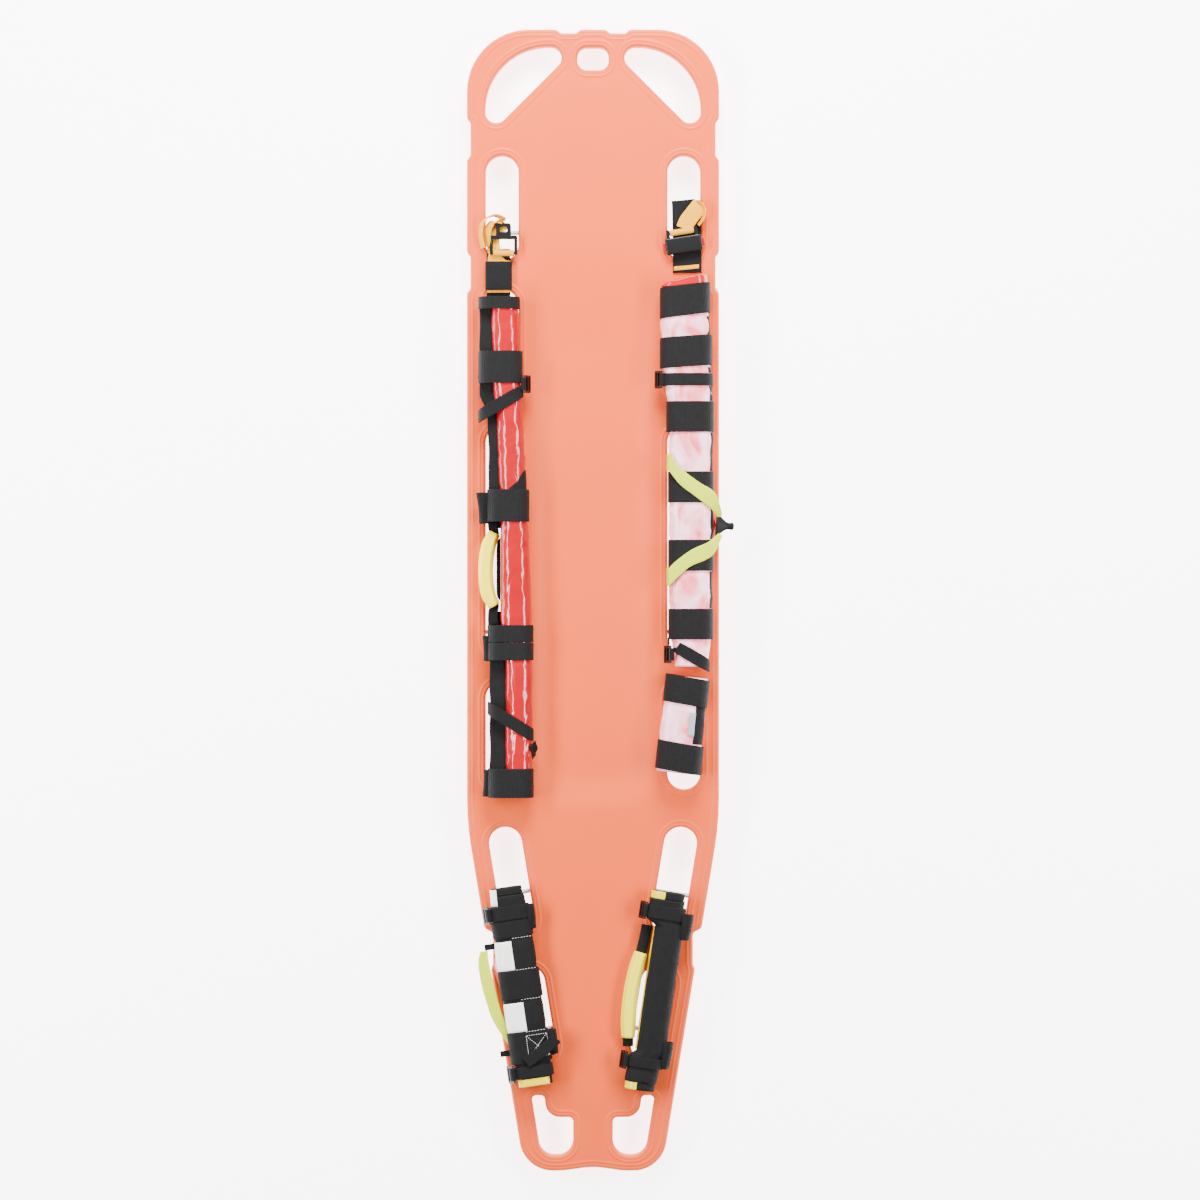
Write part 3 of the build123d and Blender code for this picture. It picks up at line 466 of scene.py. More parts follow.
class Tree:
    """Short way to lay nodes out and join them in a material or a group."""

    def __init__(self, tree: bpy.types.NodeTree) -> None:
        """Keeps the tree."""
        self.tree = tree

    def add(self, kind: str, settings: dict | None = None, **inputs: object) -> bpy.types.Node:
        """Adds a node; a value that is a socket is linked, and any other one is set.

        Args:
            kind: Node type.
            settings: Attributes of the node.
            **inputs: Input sockets, with spaces written as underscores, or in_0 for a numbered one.

        Returns:
            The node.
        """
        node = self.tree.nodes.new(kind)
        for key, value in (settings or {}).items():
            setattr(node, key, value)
        for key, value in inputs.items():
            socket = node.inputs[int(key[3:])] if key.startswith("in_") else node.inputs[key.replace("_",
                                                                                                     " ")]
            if isinstance(value, bpy.types.NodeSocket):
                self.tree.links.new(value, socket)
            else:
                socket.default_value = value
        return node

    def maths(self, operation: str, *values: object) -> bpy.types.NodeSocket:
        """Adds a Math node and returns its result."""
        inputs = {f"in_{index}": value for index, value in enumerate(values)}
        return self.add("ShaderNodeMath", {"operation": operation}, **inputs).outputs[0]

    def mix(self, factor: object, first: object, second: object) -> bpy.types.NodeSocket:
        """Adds a colour mix and returns its result."""
        node = self.add("ShaderNodeMix", {"data_type": "RGBA"}, in_0=factor, in_6=first, in_7=second)
        return node.outputs[2]


def new_group(name: str, inputs: dict[str, tuple[str, object]],
              outputs: dict[str, str]) -> tuple[Tree, dict, dict]:
    """Starts a shader node group with named inputs and outputs.

    Args:
        name: Name of the group.
        inputs: Socket type and value of each input.
        outputs: Socket type of each output.

    Returns:
        Its tree, its input sockets by name and its output node's sockets by name.
    """
    group = bpy.data.node_groups.new(name, "ShaderNodeTree")
    for key, (kind, value) in inputs.items():
        socket = group.interface.new_socket(key, in_out="INPUT", socket_type=kind)
        if value is not None:
            socket.default_value = value
    for key, kind in outputs.items():
        group.interface.new_socket(key, in_out="OUTPUT", socket_type=kind)
    entry = group.nodes.new("NodeGroupInput")
    exit_node = group.nodes.new("NodeGroupOutput")
    return Tree(group), {k: entry.outputs[k] for k in inputs}, {k: exit_node.inputs[k] for k in outputs}


def weave_group() -> bpy.types.NodeTree:
    """Weave on a piece's map: ribs across the webbing, finer yarns along it and a faint unevenness. The Shade
    output paints shade into the grooves between ribs and yarns, mixed with random tone.
    """
    tree, given, wanted = new_group(
        "weave",
        {"Rib": ("NodeSocketFloat", 1.4), "Yarn": ("NodeSocketFloat", 0.9),
         "Twill": ("NodeSocketFloat", 0.0)},
        {"Height": "NodeSocketFloat", "Shade": "NodeSocketFloat"},
    )
    place = tree.add("ShaderNodeTexCoord").outputs["UV"]
    parts = tree.add("ShaderNodeSeparateXYZ", Vector=place)
    along = tree.maths("MULTIPLY", parts.outputs[0], 1000.0)
    across = tree.maths("MULTIPLY", parts.outputs[1], 1000.0)
    slanted = tree.maths("ADD", along, tree.maths("MULTIPLY", across, given["Twill"]))
    rib = tree.maths("SINE", tree.maths("MULTIPLY", tree.maths("DIVIDE", slanted, given["Rib"]), 2 * math.pi))
    yarn = tree.maths("SINE",
                      tree.maths("MULTIPLY", tree.maths("DIVIDE", across, given["Yarn"]), 2 * math.pi))
    both = tree.maths("ADD", tree.maths("MULTIPLY", rib, 0.65), tree.maths("MULTIPLY", yarn, 0.35))
    place_object = tree.add("ShaderNodeTexCoord").outputs["Object"]
    cloud = tree.add("ShaderNodeTexNoise", Vector=place_object, Scale=90.0, Detail=3.0).outputs[0]
    height = tree.maths("ADD", tree.maths("MULTIPLY", both, 0.5), 0.5)
    # Painted shade: the colour darkens where the weave's height is low, in the grooves, mixed with random tone
    # from the noise.
    shade = tree.maths("ADD", tree.maths("MULTIPLY", height, 0.45), tree.maths("MULTIPLY", cloud, 0.55))
    tree.tree.links.new(height, wanted["Height"])
    tree.tree.links.new(shade, wanted["Shade"])
    return tree.tree


def cloud_group() -> bpy.types.NodeTree:
    """Slow and fast unevenness on Object coordinates, for colour, gloss and fine grain."""
    tree, given, wanted = new_group(
        "clouds",
        {"Broad": ("NodeSocketFloat", 12.0), "Fine": ("NodeSocketFloat", 900.0)},
        {"Broad": "NodeSocketFloat", "Fine": "NodeSocketFloat"},
    )
    place = tree.add("ShaderNodeTexCoord").outputs["Object"]
    broad = tree.add("ShaderNodeTexNoise", Vector=place, Scale=given["Broad"], Detail=4.0).outputs[0]
    fine = tree.add("ShaderNodeTexNoise", Vector=place, Scale=given["Fine"], Detail=2.0).outputs[0]
    tree.tree.links.new(broad, wanted["Broad"])
    tree.tree.links.new(fine, wanted["Fine"])
    return tree.tree


WEAVE = weave_group()
CLOUDS = cloud_group()


@dataclass(frozen=True)
class Finish:
    """Common facts of a finish: its name, its colour, a second colour, and its roughness. The second colour is
    one that the colour drifts to at random; webbing and satin also use it as painted shade, in the weave's
    grooves and the folds' hollows.
    """

    name: str
    colour: tuple[float, float, float, float]
    # Second colour: random tone in every finish, and painted shade in the grooves of webbing and the fold
    # hollows of satin.
    drift_and_shade: tuple[float, float, float, float]
    roughness: float = 0.5

    def start(self) -> tuple[bpy.types.Material, Tree, bpy.types.Node]:
        """Makes the material with its shader.

        Returns:
            The material, its tree and its Principled BSDF.
        """
        material = bpy.data.materials.new(self.name)
        material.use_nodes = True
        material.diffuse_color = self.colour
        tree = Tree(material.node_tree)
        shader = material.node_tree.nodes["Principled BSDF"]
        shader.inputs["Roughness"].default_value = self.roughness
        return material, tree, shader

    def group(self, tree: Tree, group: bpy.types.NodeTree, **values: float) -> bpy.types.Node:
        """Places a shared group with its own values."""
        node = tree.tree.nodes.new("ShaderNodeGroup")
        node.node_tree = group
        for key, value in values.items():
            node.inputs[key].default_value = value
        return node

    def bump(self, tree: Tree, shader: bpy.types.Node, height: bpy.types.NodeSocket, depth: float,
             strength: float = 0.6) -> None:
        """Feeds a height in millimetres to the shader's normal."""
        node = tree.add("ShaderNodeBump", Height=height, Strength=strength, Distance=depth * MM)
        tree.tree.links.new(node.outputs[0], shader.inputs["Normal"])


@dataclass(frozen=True)
class MouldedPlastic(Finish):
    """Moulded plastic with a fine grain, slow colour drift and uneven gloss."""

    grain: float = 0.08
    coat: float = 0.0
    gloss: float = 0.28

    def build(self) -> bpy.types.Material:
        """Returns the finished material."""
        material, tree, shader = self.start()
        clouds = self.group(tree, CLOUDS, Broad=7.0, Fine=1400.0)
        colour = tree.mix(clouds.outputs["Broad"], self.colour, self.drift_and_shade)
        tree.tree.links.new(colour, shader.inputs["Base Color"])
        rough = tree.maths("ADD", tree.maths("MULTIPLY", clouds.outputs["Broad"], 0.14),
                           self.roughness - 0.07)
        tree.tree.links.new(rough, shader.inputs["Roughness"])
        shader.inputs["Specular IOR Level"].default_value = self.gloss
        shader.inputs["Coat Weight"].default_value = self.coat
        self.bump(tree, shader, clouds.outputs["Fine"], self.grain)
        return material


@dataclass(frozen=True)
class Backdrop(Finish):
    """Plain pale floor that glows a little, so that it stays near white around soft shadows."""

    glow: float = 5.0

    def build(self) -> bpy.types.Material:
        """Returns the finished material."""
        material, _, shader = self.start()
        shader.inputs["Base Color"].default_value = self.colour
        shader.inputs["Emission Color"].default_value = self.colour
        shader.inputs["Emission Strength"].default_value = self.glow
        return material


@dataclass(frozen=True)
class Webbing(Finish):
    """Woven webbing: ribs across it, yarns along it, a dusty sheen, and painted shade that darkens the colour
    in the weave's grooves.
    """

    rib: float = 1.5
    yarn: float = 1.0
    twill: float = 0.0
    depth: float = 0.35
    sheen: float = 0.03

    def build(self) -> bpy.types.Material:
        """Returns the finished material."""
        material, tree, shader = self.start()
        weave = self.group(tree, WEAVE, Rib=self.rib, Yarn=self.yarn, Twill=self.twill)
        # Painted shade: the weave's grooves take the darker second colour.
        colour = tree.mix(weave.outputs["Shade"], self.drift_and_shade, self.colour)
        tree.tree.links.new(colour, shader.inputs["Base Color"])
        shader.inputs["Specular IOR Level"].default_value = 0.14
        shader.inputs["Sheen Weight"].default_value = self.sheen
        shader.inputs["Sheen Roughness"].default_value = 0.45
        self.bump(tree, shader, weave.outputs["Height"], self.depth, 0.8)
        return material


@dataclass(frozen=True)
class CoatedCloth(Finish):
    """Cloth under a glossy film: its weave shows faintly and its creases catch the light."""

    coat: float = 0.8
    coat_roughness: float = 0.09
    gloss: float = 0.08
    weave: float = 0.05
    crease_scale: float = 26.0
    crease_depth: float = 0.9

    def build(self) -> bpy.types.Material:
        """Returns the finished material."""
        material, tree, shader = self.start()
        place = tree.add("ShaderNodeTexCoord").outputs["Object"]
        stretched = tree.add("ShaderNodeMapping", Vector=place, Scale=(1.0, 0.45, 1.0)).outputs[0]
        folds = tree.add("ShaderNodeTexNoise", {"noise_type": "RIDGED_MULTIFRACTAL"}, Vector=stretched,
                         Scale=self.crease_scale, Detail=2.0, Distortion=0.6).outputs[0]
        clouds = self.group(tree, CLOUDS, Broad=30.0, Fine=1500.0)
        colour = tree.mix(clouds.outputs["Broad"], self.colour, self.drift_and_shade)
        tree.tree.links.new(colour, shader.inputs["Base Color"])
        shader.inputs["Specular IOR Level"].default_value = self.gloss
        shader.inputs["Coat Weight"].default_value = self.coat
        shader.inputs["Coat Roughness"].default_value = self.coat_roughness
        height = tree.maths("ADD", tree.maths("MULTIPLY", folds, 1.0),
                            tree.maths("MULTIPLY", clouds.outputs["Fine"], self.weave))
        self.bump(tree, shader, height, self.crease_depth, 0.5)
        return material


@dataclass(frozen=True)
class Satin(Finish):
    """Smooth satin-like cloth with broad soft folds and painted shade: the fold height also sets the colour,
    pale on crests and deeper pink in the hollows.
    """

    def build(self) -> bpy.types.Material:
        """Returns the finished material."""
        material, tree, shader = self.start()
        place = tree.add("ShaderNodeTexCoord").outputs["Object"]
        turned = tree.add("ShaderNodeMapping", Vector=place, Rotation=(0.0, 0.0, 0.5),
                          Scale=(1.0, 0.7, 1.0)).outputs[0]
        folds = tree.add("ShaderNodeTexNoise", Vector=turned, Scale=24.0, Detail=2.5,
                         Distortion=1.1).outputs[0]
        # Painted shade: the folds that drive the bump also darken the colour in their hollows, and the second
        # colour is the shaded hollow.
        painted_fold_shade = tree.add("ShaderNodeValToRGB", Fac=folds)
        painted_fold_shade.color_ramp.elements[0].position = 0.34
        painted_fold_shade.color_ramp.elements[1].position = 0.56
        painted_fold_shade.color_ramp.elements[0].color = self.drift_and_shade
        painted_fold_shade.color_ramp.elements[1].color = self.colour
        tree.tree.links.new(painted_fold_shade.outputs[0], shader.inputs["Base Color"])
        shader.inputs["Sheen Weight"].default_value = 0.4
        shader.inputs["Coat Weight"].default_value = 0.25
        shader.inputs["Coat Roughness"].default_value = 0.25
        clouds = self.group(tree, CLOUDS, Broad=20.0, Fine=1700.0)
        height = tree.maths("ADD", folds, tree.maths("MULTIPLY", clouds.outputs["Fine"], 0.04))
        self.bump(tree, shader, height, 2.0, 0.5)
        return material


@dataclass(frozen=True)
class Metal(Finish):
    """Brushed metal."""

    def build(self) -> bpy.types.Material:
        """Returns the finished material."""
        material, tree, shader = self.start()
        clouds = self.group(tree, CLOUDS, Broad=60.0, Fine=2500.0)
        tree.tree.links.new(tree.mix(clouds.outputs["Broad"], self.colour, self.drift_and_shade),
                            shader.inputs["Base Color"])
        shader.inputs["Metallic"].default_value = 1.0
        self.bump(tree, shader, clouds.outputs["Fine"], 0.05)
        return material


class Shelf:
    """All finishes of the object, made once."""

    def __init__(self) -> None:
        """Builds every material."""
        # The second colour of each finish is where its colour drifts at random; for webbing it is also painted
        # shade in the weave's grooves, and for satin it is painted shade in the fold hollows.
        self.board = MouldedPlastic("board_orange", linear(218, 80, 20), linear(208, 72, 16), 0.5).build()
        self.pin = MouldedPlastic("pin_grey", linear(205, 207, 210), linear(186, 188, 192), 0.4).build()
        self.black = Webbing("black_webbing", linear(18, 18, 19), linear(8, 8, 9), 0.8).build()
        self.elastic = Webbing("black_elastic", linear(20, 20, 21), linear(7, 7, 8), 0.75, rib=3.4,
                               yarn=1.6, depth=0.8).build()
        self.cloth = Webbing("black_cloth", linear(19, 19, 20), linear(8, 8, 9), 0.8, rib=2.2, yarn=3.0,
                             twill=0.8, depth=0.25).build()
        self.red = CoatedCloth("red_coated_cloth", linear(168, 0, 18), linear(146, 0, 14), 0.28).build()
        self.lining = CoatedCloth("red_lining", linear(180, 2, 16), linear(158, 1, 12), 0.35).build()
        self.pink = Satin("pale_pink_cloth", linear(253, 190, 206), linear(236, 96, 106), 0.42).build()
        self.lime = Webbing("lime_webbing", linear(198, 214, 4), linear(172, 190, 2), 0.7, sheen=0.2).build()
        self.grip = MouldedPlastic("lime_grip", linear(232, 218, 0), linear(222, 206, 0), 0.34,
                                   gloss=0.2).build()
        self.amber = Webbing("amber_webbing", linear(226, 160, 0), linear(200, 132, 0), 0.7, rib=1.3).build()
        self.yellow = CoatedCloth("yellow_cloth", linear(226, 202, 0), linear(212, 188, 0), 0.35,
                                  coat=0.5).build()
        self.white = CoatedCloth("white_cloth", linear(240, 242, 238), linear(220, 224, 218), 0.5,
                                 coat=0.25).build()
        self.orange_red = CoatedCloth("orange_red_cloth", linear(206, 20, 2), linear(182, 12, 1), 0.4).build()
        self.grey = Webbing("grey_cloth", linear(168, 168, 172), linear(140, 140, 146), 0.7, rib=0.9).build()
        self.plastic = MouldedPlastic("black_plastic", linear(16, 16, 17), linear(11, 11, 12), 0.36,
                                      grain=0.05).build()
        self.rubber = MouldedPlastic("black_rubber", linear(12, 12, 13), linear(8, 8, 9), 0.5,
                                     gloss=0.15).build()
        self.button = MouldedPlastic("crimson_plastic", linear(150, 0, 10), linear(126, 0, 6), 0.35).build()
        self.steel = Metal("steel", linear(190, 192, 196), linear(150, 152, 158), 0.3).build()
        self.thread = MouldedPlastic("white_thread", linear(214, 214, 210), linear(190, 190, 186),
                                     0.7).build()
        self.floor = Backdrop("floor", linear(246, 246, 246), linear(246, 246, 246), 0.9).build()


SHELF = Shelf()


def place_on(obj: bpy.types.Object, body: str, slot: str, *replaced: str) -> bpy.types.Object:
    """Rides a piece on its body and hides the nodes that it stands for.

    Args:
        obj: The piece.
        body: Body that it moves with.
        slot: The record's material slot; not used.
        *replaced: Nodes that it replaces.

    Returns:
        The piece.
    """
    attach(obj, body)
    if replaced:
        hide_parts(*replaced)
    LOG.info("%s rides on %s, %d faces", obj.name, body, len(obj.data.polygons))
    return obj


def soften(node: str, body: str, slot: str, material: bpy.types.Material, edge: float) -> bpy.types.Object:
    """Copies a rigid node, rounds its edges and shows it in the node's place.

    Args:
        node: Name of the node.
        body: Body that it belongs to.
        slot: The record's material slot; passed on to place_on(), which does not use it.
        material: Its finish.
        edge: Radius of its rounded edges.

    Returns:
        The new piece.
    """
    obj = frame["nodes"][node].copy()
    obj.data = obj.data.copy()
    obj.name = f"{node}_rounded"
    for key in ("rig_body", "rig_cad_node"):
        if key in obj:
            del obj[key]
    obj.parent = None
    bpy.context.scene.collection.objects.link(obj)
    if obj.data.has_custom_normals:
        with bpy.context.temp_override(object=obj, active_object=obj):
            bpy.ops.mesh.customdata_custom_splitnormals_clear()
    work = bmesh.new()
    work.from_mesh(obj.data)
    bmesh.ops.remove_doubles(work, verts=work.verts, dist=1e-6)
    bmesh.ops.dissolve_limit(work, angle_limit=math.radians(1.0), verts=work.verts, edges=work.edges)
    work.to_mesh(obj.data)
    work.free()
    obj.data.materials.clear()
    obj.data.materials.append(material)
    bevel = obj.modifiers.new("edges", "BEVEL")
    bevel.width = edge * MM
    bevel.segments = 3
    bevel.limit_method = "ANGLE"
    bevel.angle_limit = math.radians(40.0)
    bevel.harden_normals = True
    obj.data.shade_smooth()
    return place_on(obj, body, slot, node)


# Bundles


@dataclass
class Bundle:
    """A rolled or folded wrap: its edges along Y, its height, where it is cinched and its own frame.

    The frame is x, y and a turn in degrees, for wraps that lie askew.
    """

    stations: Stations
    height: float
    cinches: Sequence[tuple[float, float]] = ()
    place: tuple[float, float, float] = (0.0, 0.0, 0.0)
    fold_width: float = 16.0
    fold_length: float = 46.0
    fold_height: float = 1.3
    seed: int = 1
    proud: float = 9.0

    def turned(self, points: Array) -> Array:
        """Points of the wrap's own frame, in the object's frame."""
        x, y, angle = self.place
        c, s = math.cos(math.radians(angle)), math.sin(math.radians(angle))
        out = points.copy()
        out[..., 0] = x + c * points[..., 0] - s * points[..., 1]
        out[..., 1] = y + s * points[..., 0] + c * points[..., 1]
        return out

    def swell(self, y: Array) -> Array:
        """Height by which the cloth swells between bands: 1 away from them, easing to -1 under them."""
        grip = np.zeros_like(y)
        for high, low in self.cinches:
            near = 1.0 - smooth((np.abs(y - (high + low) / 2) - (high - low) / 2) / 14.0)
            grip = np.maximum(grip, near)
        return 1.0 - 2.0 * grip

    def relief(self, share: Array, y: Array, girth: float) -> Array:
        """Folds of the cloth: creases, calmed where a band holds them, under a soft limit.

        Args:
            share: Shares of the girth.
            y: Places along the bundle.
            girth: Length around it.

        Returns:
            Heights: proud - log(1 + exp(k (proud - height))) / k, with k = 2.2.
        """
        swell = self.swell(y)
        folds = creases(share * girth / self.fold_width, y / self.fold_length, self.seed)
        calm = 0.25 + 0.75 * smooth((swell + 1.0) / 2.0)
        lift = self.fold_height * folds * calm + 0.55 * swell
        return self.proud - np.logaddexp(0.0, 2.2 * (self.proud - lift)) / 2.2

    def shell(self, high: float, low: float, first: float = 0.0, last: float = 1.0, offset: float = 0.0,
              step: float = 3.0, around: int = 112, ends: bool = True, thickness: float = 0.0) -> Surface:
        """Cloth around the bundle, all round or over part of its girth.

        A whole shell is closed by its rolled ends. A part shell is a strip whose section is the outer line
        and, a thickness inside it, the inner line.

        Args:
            high: Its head end.
            low: Its foot end.
            first: Share of the girth where it starts.
            last: Share of the girth where it ends.
            offset: Distance outside the bundle.
            step: Length of a row.
            around: Points around the whole girth.
            ends: Whether a whole shell gets rolled ends.
            thickness: Thickness of a part shell.

        Returns:
            The surface.
        """
        rows = max(int((high - low) / step), 2)
        y = np.linspace(high, low, rows)
        whole = last - first >= 1.0
        count = around if whole else max(int(around * (last - first)), 4)
        share = np.linspace(first, last, count, endpoint=not whole)
        grid_y, grid_s = np.meshgrid(y, share, indexing="ij")
        left, right = edges_at(self.stations, grid_y)
        girth = float(np.mean(2 * (right - left - self.height) + math.pi * self.height))
        lift = self.relief(grid_s, grid_y, girth) + offset
        under = smooth((0.12 - np.abs((grid_s + 0.5) % 1.0 - 0.5)) / 0.06)
        lift = lift * (1.0 - under)
        x, z = stadium(left, right, self.height, grid_s, lift)
        points = np.stack([x, grid_y, z], axis=2)
        if whole:
            if ends:
                points = np.concatenate([self.rolled_end(y[0], 1.0, share, lift[0])[::-1], points,
                                         self.rolled_end(y[-1], -1.0, share, lift[-1])], axis=0)
            points = self.turned(points)
            return Surface(points, chart_of(points, False, True), closed_cols=True, capped=not ends)
        x_in, z_in = stadium(left, right, self.height, grid_s, lift - thickness)
        inner = np.stack([x_in, grid_y, z_in], axis=2)
        points = self.turned(np.concatenate([points, inner[:, ::-1]], axis=1))
        return Surface(points, chart_of(points, False, True), closed_cols=True, capped=True)

    def rolled_end(self, y: float, facing: float, share: Array, lift: Array, turns: float = 5.0,
                   steps: int = 22) -> Array:
        """End of a roll: the section shrinks to its middle while a spiral step marks each layer of cloth.

        Args:
            y: Place of the end.
            facing: 1 at the head end and -1 at the foot end.
            share: Shares of the girth.
            lift: Offsets of the last row.
            turns: Layers of cloth.
            steps: Rows from rim to middle.

        Returns:
            Rows of points, from the rim inwards.
        """
        size = 1.0 - (np.arange(1, steps + 1) / steps)[:, None]
        left, right = edges_at(self.stations, np.array(y))
        radius = self.height / 2 * (1.0 - size) - lift[None, :] * size
        x, z = stadium(left, right, self.height, share[None, :] + 0.0 * size,
                       -np.minimum(radius, self.height / 2 - 0.02))
        phase = (turns * (1.0 - size) + share[None, :]) % 1.0
        depth = 1.6 * smooth(phase * 1.4) + 1.5 * (1.0 - size) ** 2
        rows = np.stack([x, y - facing * depth + 0.0 * x, z], axis=2)
        return rows

    def band(self, high: float, low: float, tilt: float = 0.0, growth: float = 0.0, left: float | None = None,
             seed: int = 0, thickness: float = WEBBING) -> Surface:
        """Band of webbing around the bundle.

        Args:
            high: Its head edge.
            low: Its foot edge.
            tilt: Slant across the bundle in degrees.
            growth: Extra distance outside the bundle.
            left: Left edge, where it takes in more than the bundle.
            seed: Number that picks its unevenness.
            thickness: Thickness of the webbing.

        Returns:
            The band's surface.
        """
        middle = (high + low) / 2
        own_left, own_right = edges_at(self.stations, np.array([high, middle, low]))
        left = float(own_left.min()) if left is None else left
        right = float(own_right.max())
        share = np.linspace(0.0, 1.0, 120, endpoint=False)
        x, z = stadium(left, right, self.height, share, 0.3 + growth + thickness / 2)
        y = middle + math.tan(math.radians(tilt)) * (x - (left + right) / 2)
        path = self.turned(np.stack([x, y, z], axis=1))
        angle = math.radians(self.place[2])
        axis = np.array([-math.sin(angle), math.cos(angle), 0.0])
        return strap(path, axis, high - low, thickness, closed=True, seed=seed)

    def over(self, x: float, y: float, angle: float, width: float, growth: float = 0.0, first: float = 0.2,
             last: float = 0.8, left: float | None = None, seed: int = 0) -> Surface:
        """Strap slanting over the top of the bundle, down both flanks.

        Args:
            x: A point on its middle line.
            y: The same point's place along the bundle.
            angle: Its slant in degrees.
            width: Its width.
            growth: Extra distance outside the bundle.
            first: Share of the girth where it starts.
            last: Share of the girth where it ends.
            left: Left edge, where it takes in more than the bundle.
            seed: Number that picks its unevenness.

        Returns:
            The strap's surface.
        """
        own_left, own_right = edges_at(self.stations, np.array([y]))
        left = float(own_left[0]) if left is None else left
        right = float(own_right[0])
        share = np.linspace(first, last, 60)
        px, pz = stadium(left, right, self.height, share, 0.4 + growth + WEBBING / 2)
        slant = math.tan(math.radians(angle))
        py = y + slant * (px - x)
        path = self.turned(np.stack([px, py, pz], axis=1))
        turn = math.radians(self.place[2])
        axis = np.array([-math.sin(turn), math.cos(turn), 0.0])
        return strap(path, axis, width, WEBBING, seed=seed)

    def lock_loop(self, edge: float, y: float, side: Side) -> Surface:
        """Webbing ring around a ladder lock's pivot bar on the bundle's flank.

        Args:
            edge: Edge of the bundle there.
            y: Place along the bundle.
            side: Flank that it hangs on.

        Returns:
            The ring's surface.
        """
        reach = self.height / 2 + 6.4
        turn = math.radians(60.0)
        x = edge - side.value * self.height / 2 + side.value * reach * math.sin(turn)
        z = ROLL_BASE + self.height / 2 + reach * math.cos(turn)
        angle = np.linspace(0.0, 2 * math.pi, 28, endpoint=False)
        ring = np.stack([x + 3.05 * np.cos(angle), np.full(28, y), z + 3.05 * np.sin(angle)], axis=1)
        turn = math.radians(self.place[2])
        axis = np.array([-math.sin(turn), math.cos(turn), 0.0])
        return strap(self.turned(ring), axis, 20.0, 1.4, closed=True)


def stitches(points: Sequence[tuple[float, float, float]], pitch: float = 3.2) -> list[Surface]:
    """Row of short thread stitches along straight runs, each a small half-buried bead.

    Args:
        points: Corners of the seam.
        pitch: Length of a stitch with its gap.

    Returns:
        A surface for each stitch.
    """
    beads = []
    for start, end in zip(points, points[1:]):
        a, b = np.array(start, float), np.array(end, float)
        count = max(int(np.linalg.norm(b - a) / pitch), 1)
        for index in range(count):
            line = a + (b - a) * np.linspace(index + 0.18, index + 0.82, 4)[:, None] / count
            line[:, 2] += np.array([-0.15, 0.2, 0.2, -0.15])
            beads.append(tube(line, np.array([0.22, 0.34, 0.34, 0.22]), sides=6))
    return beads


# The board


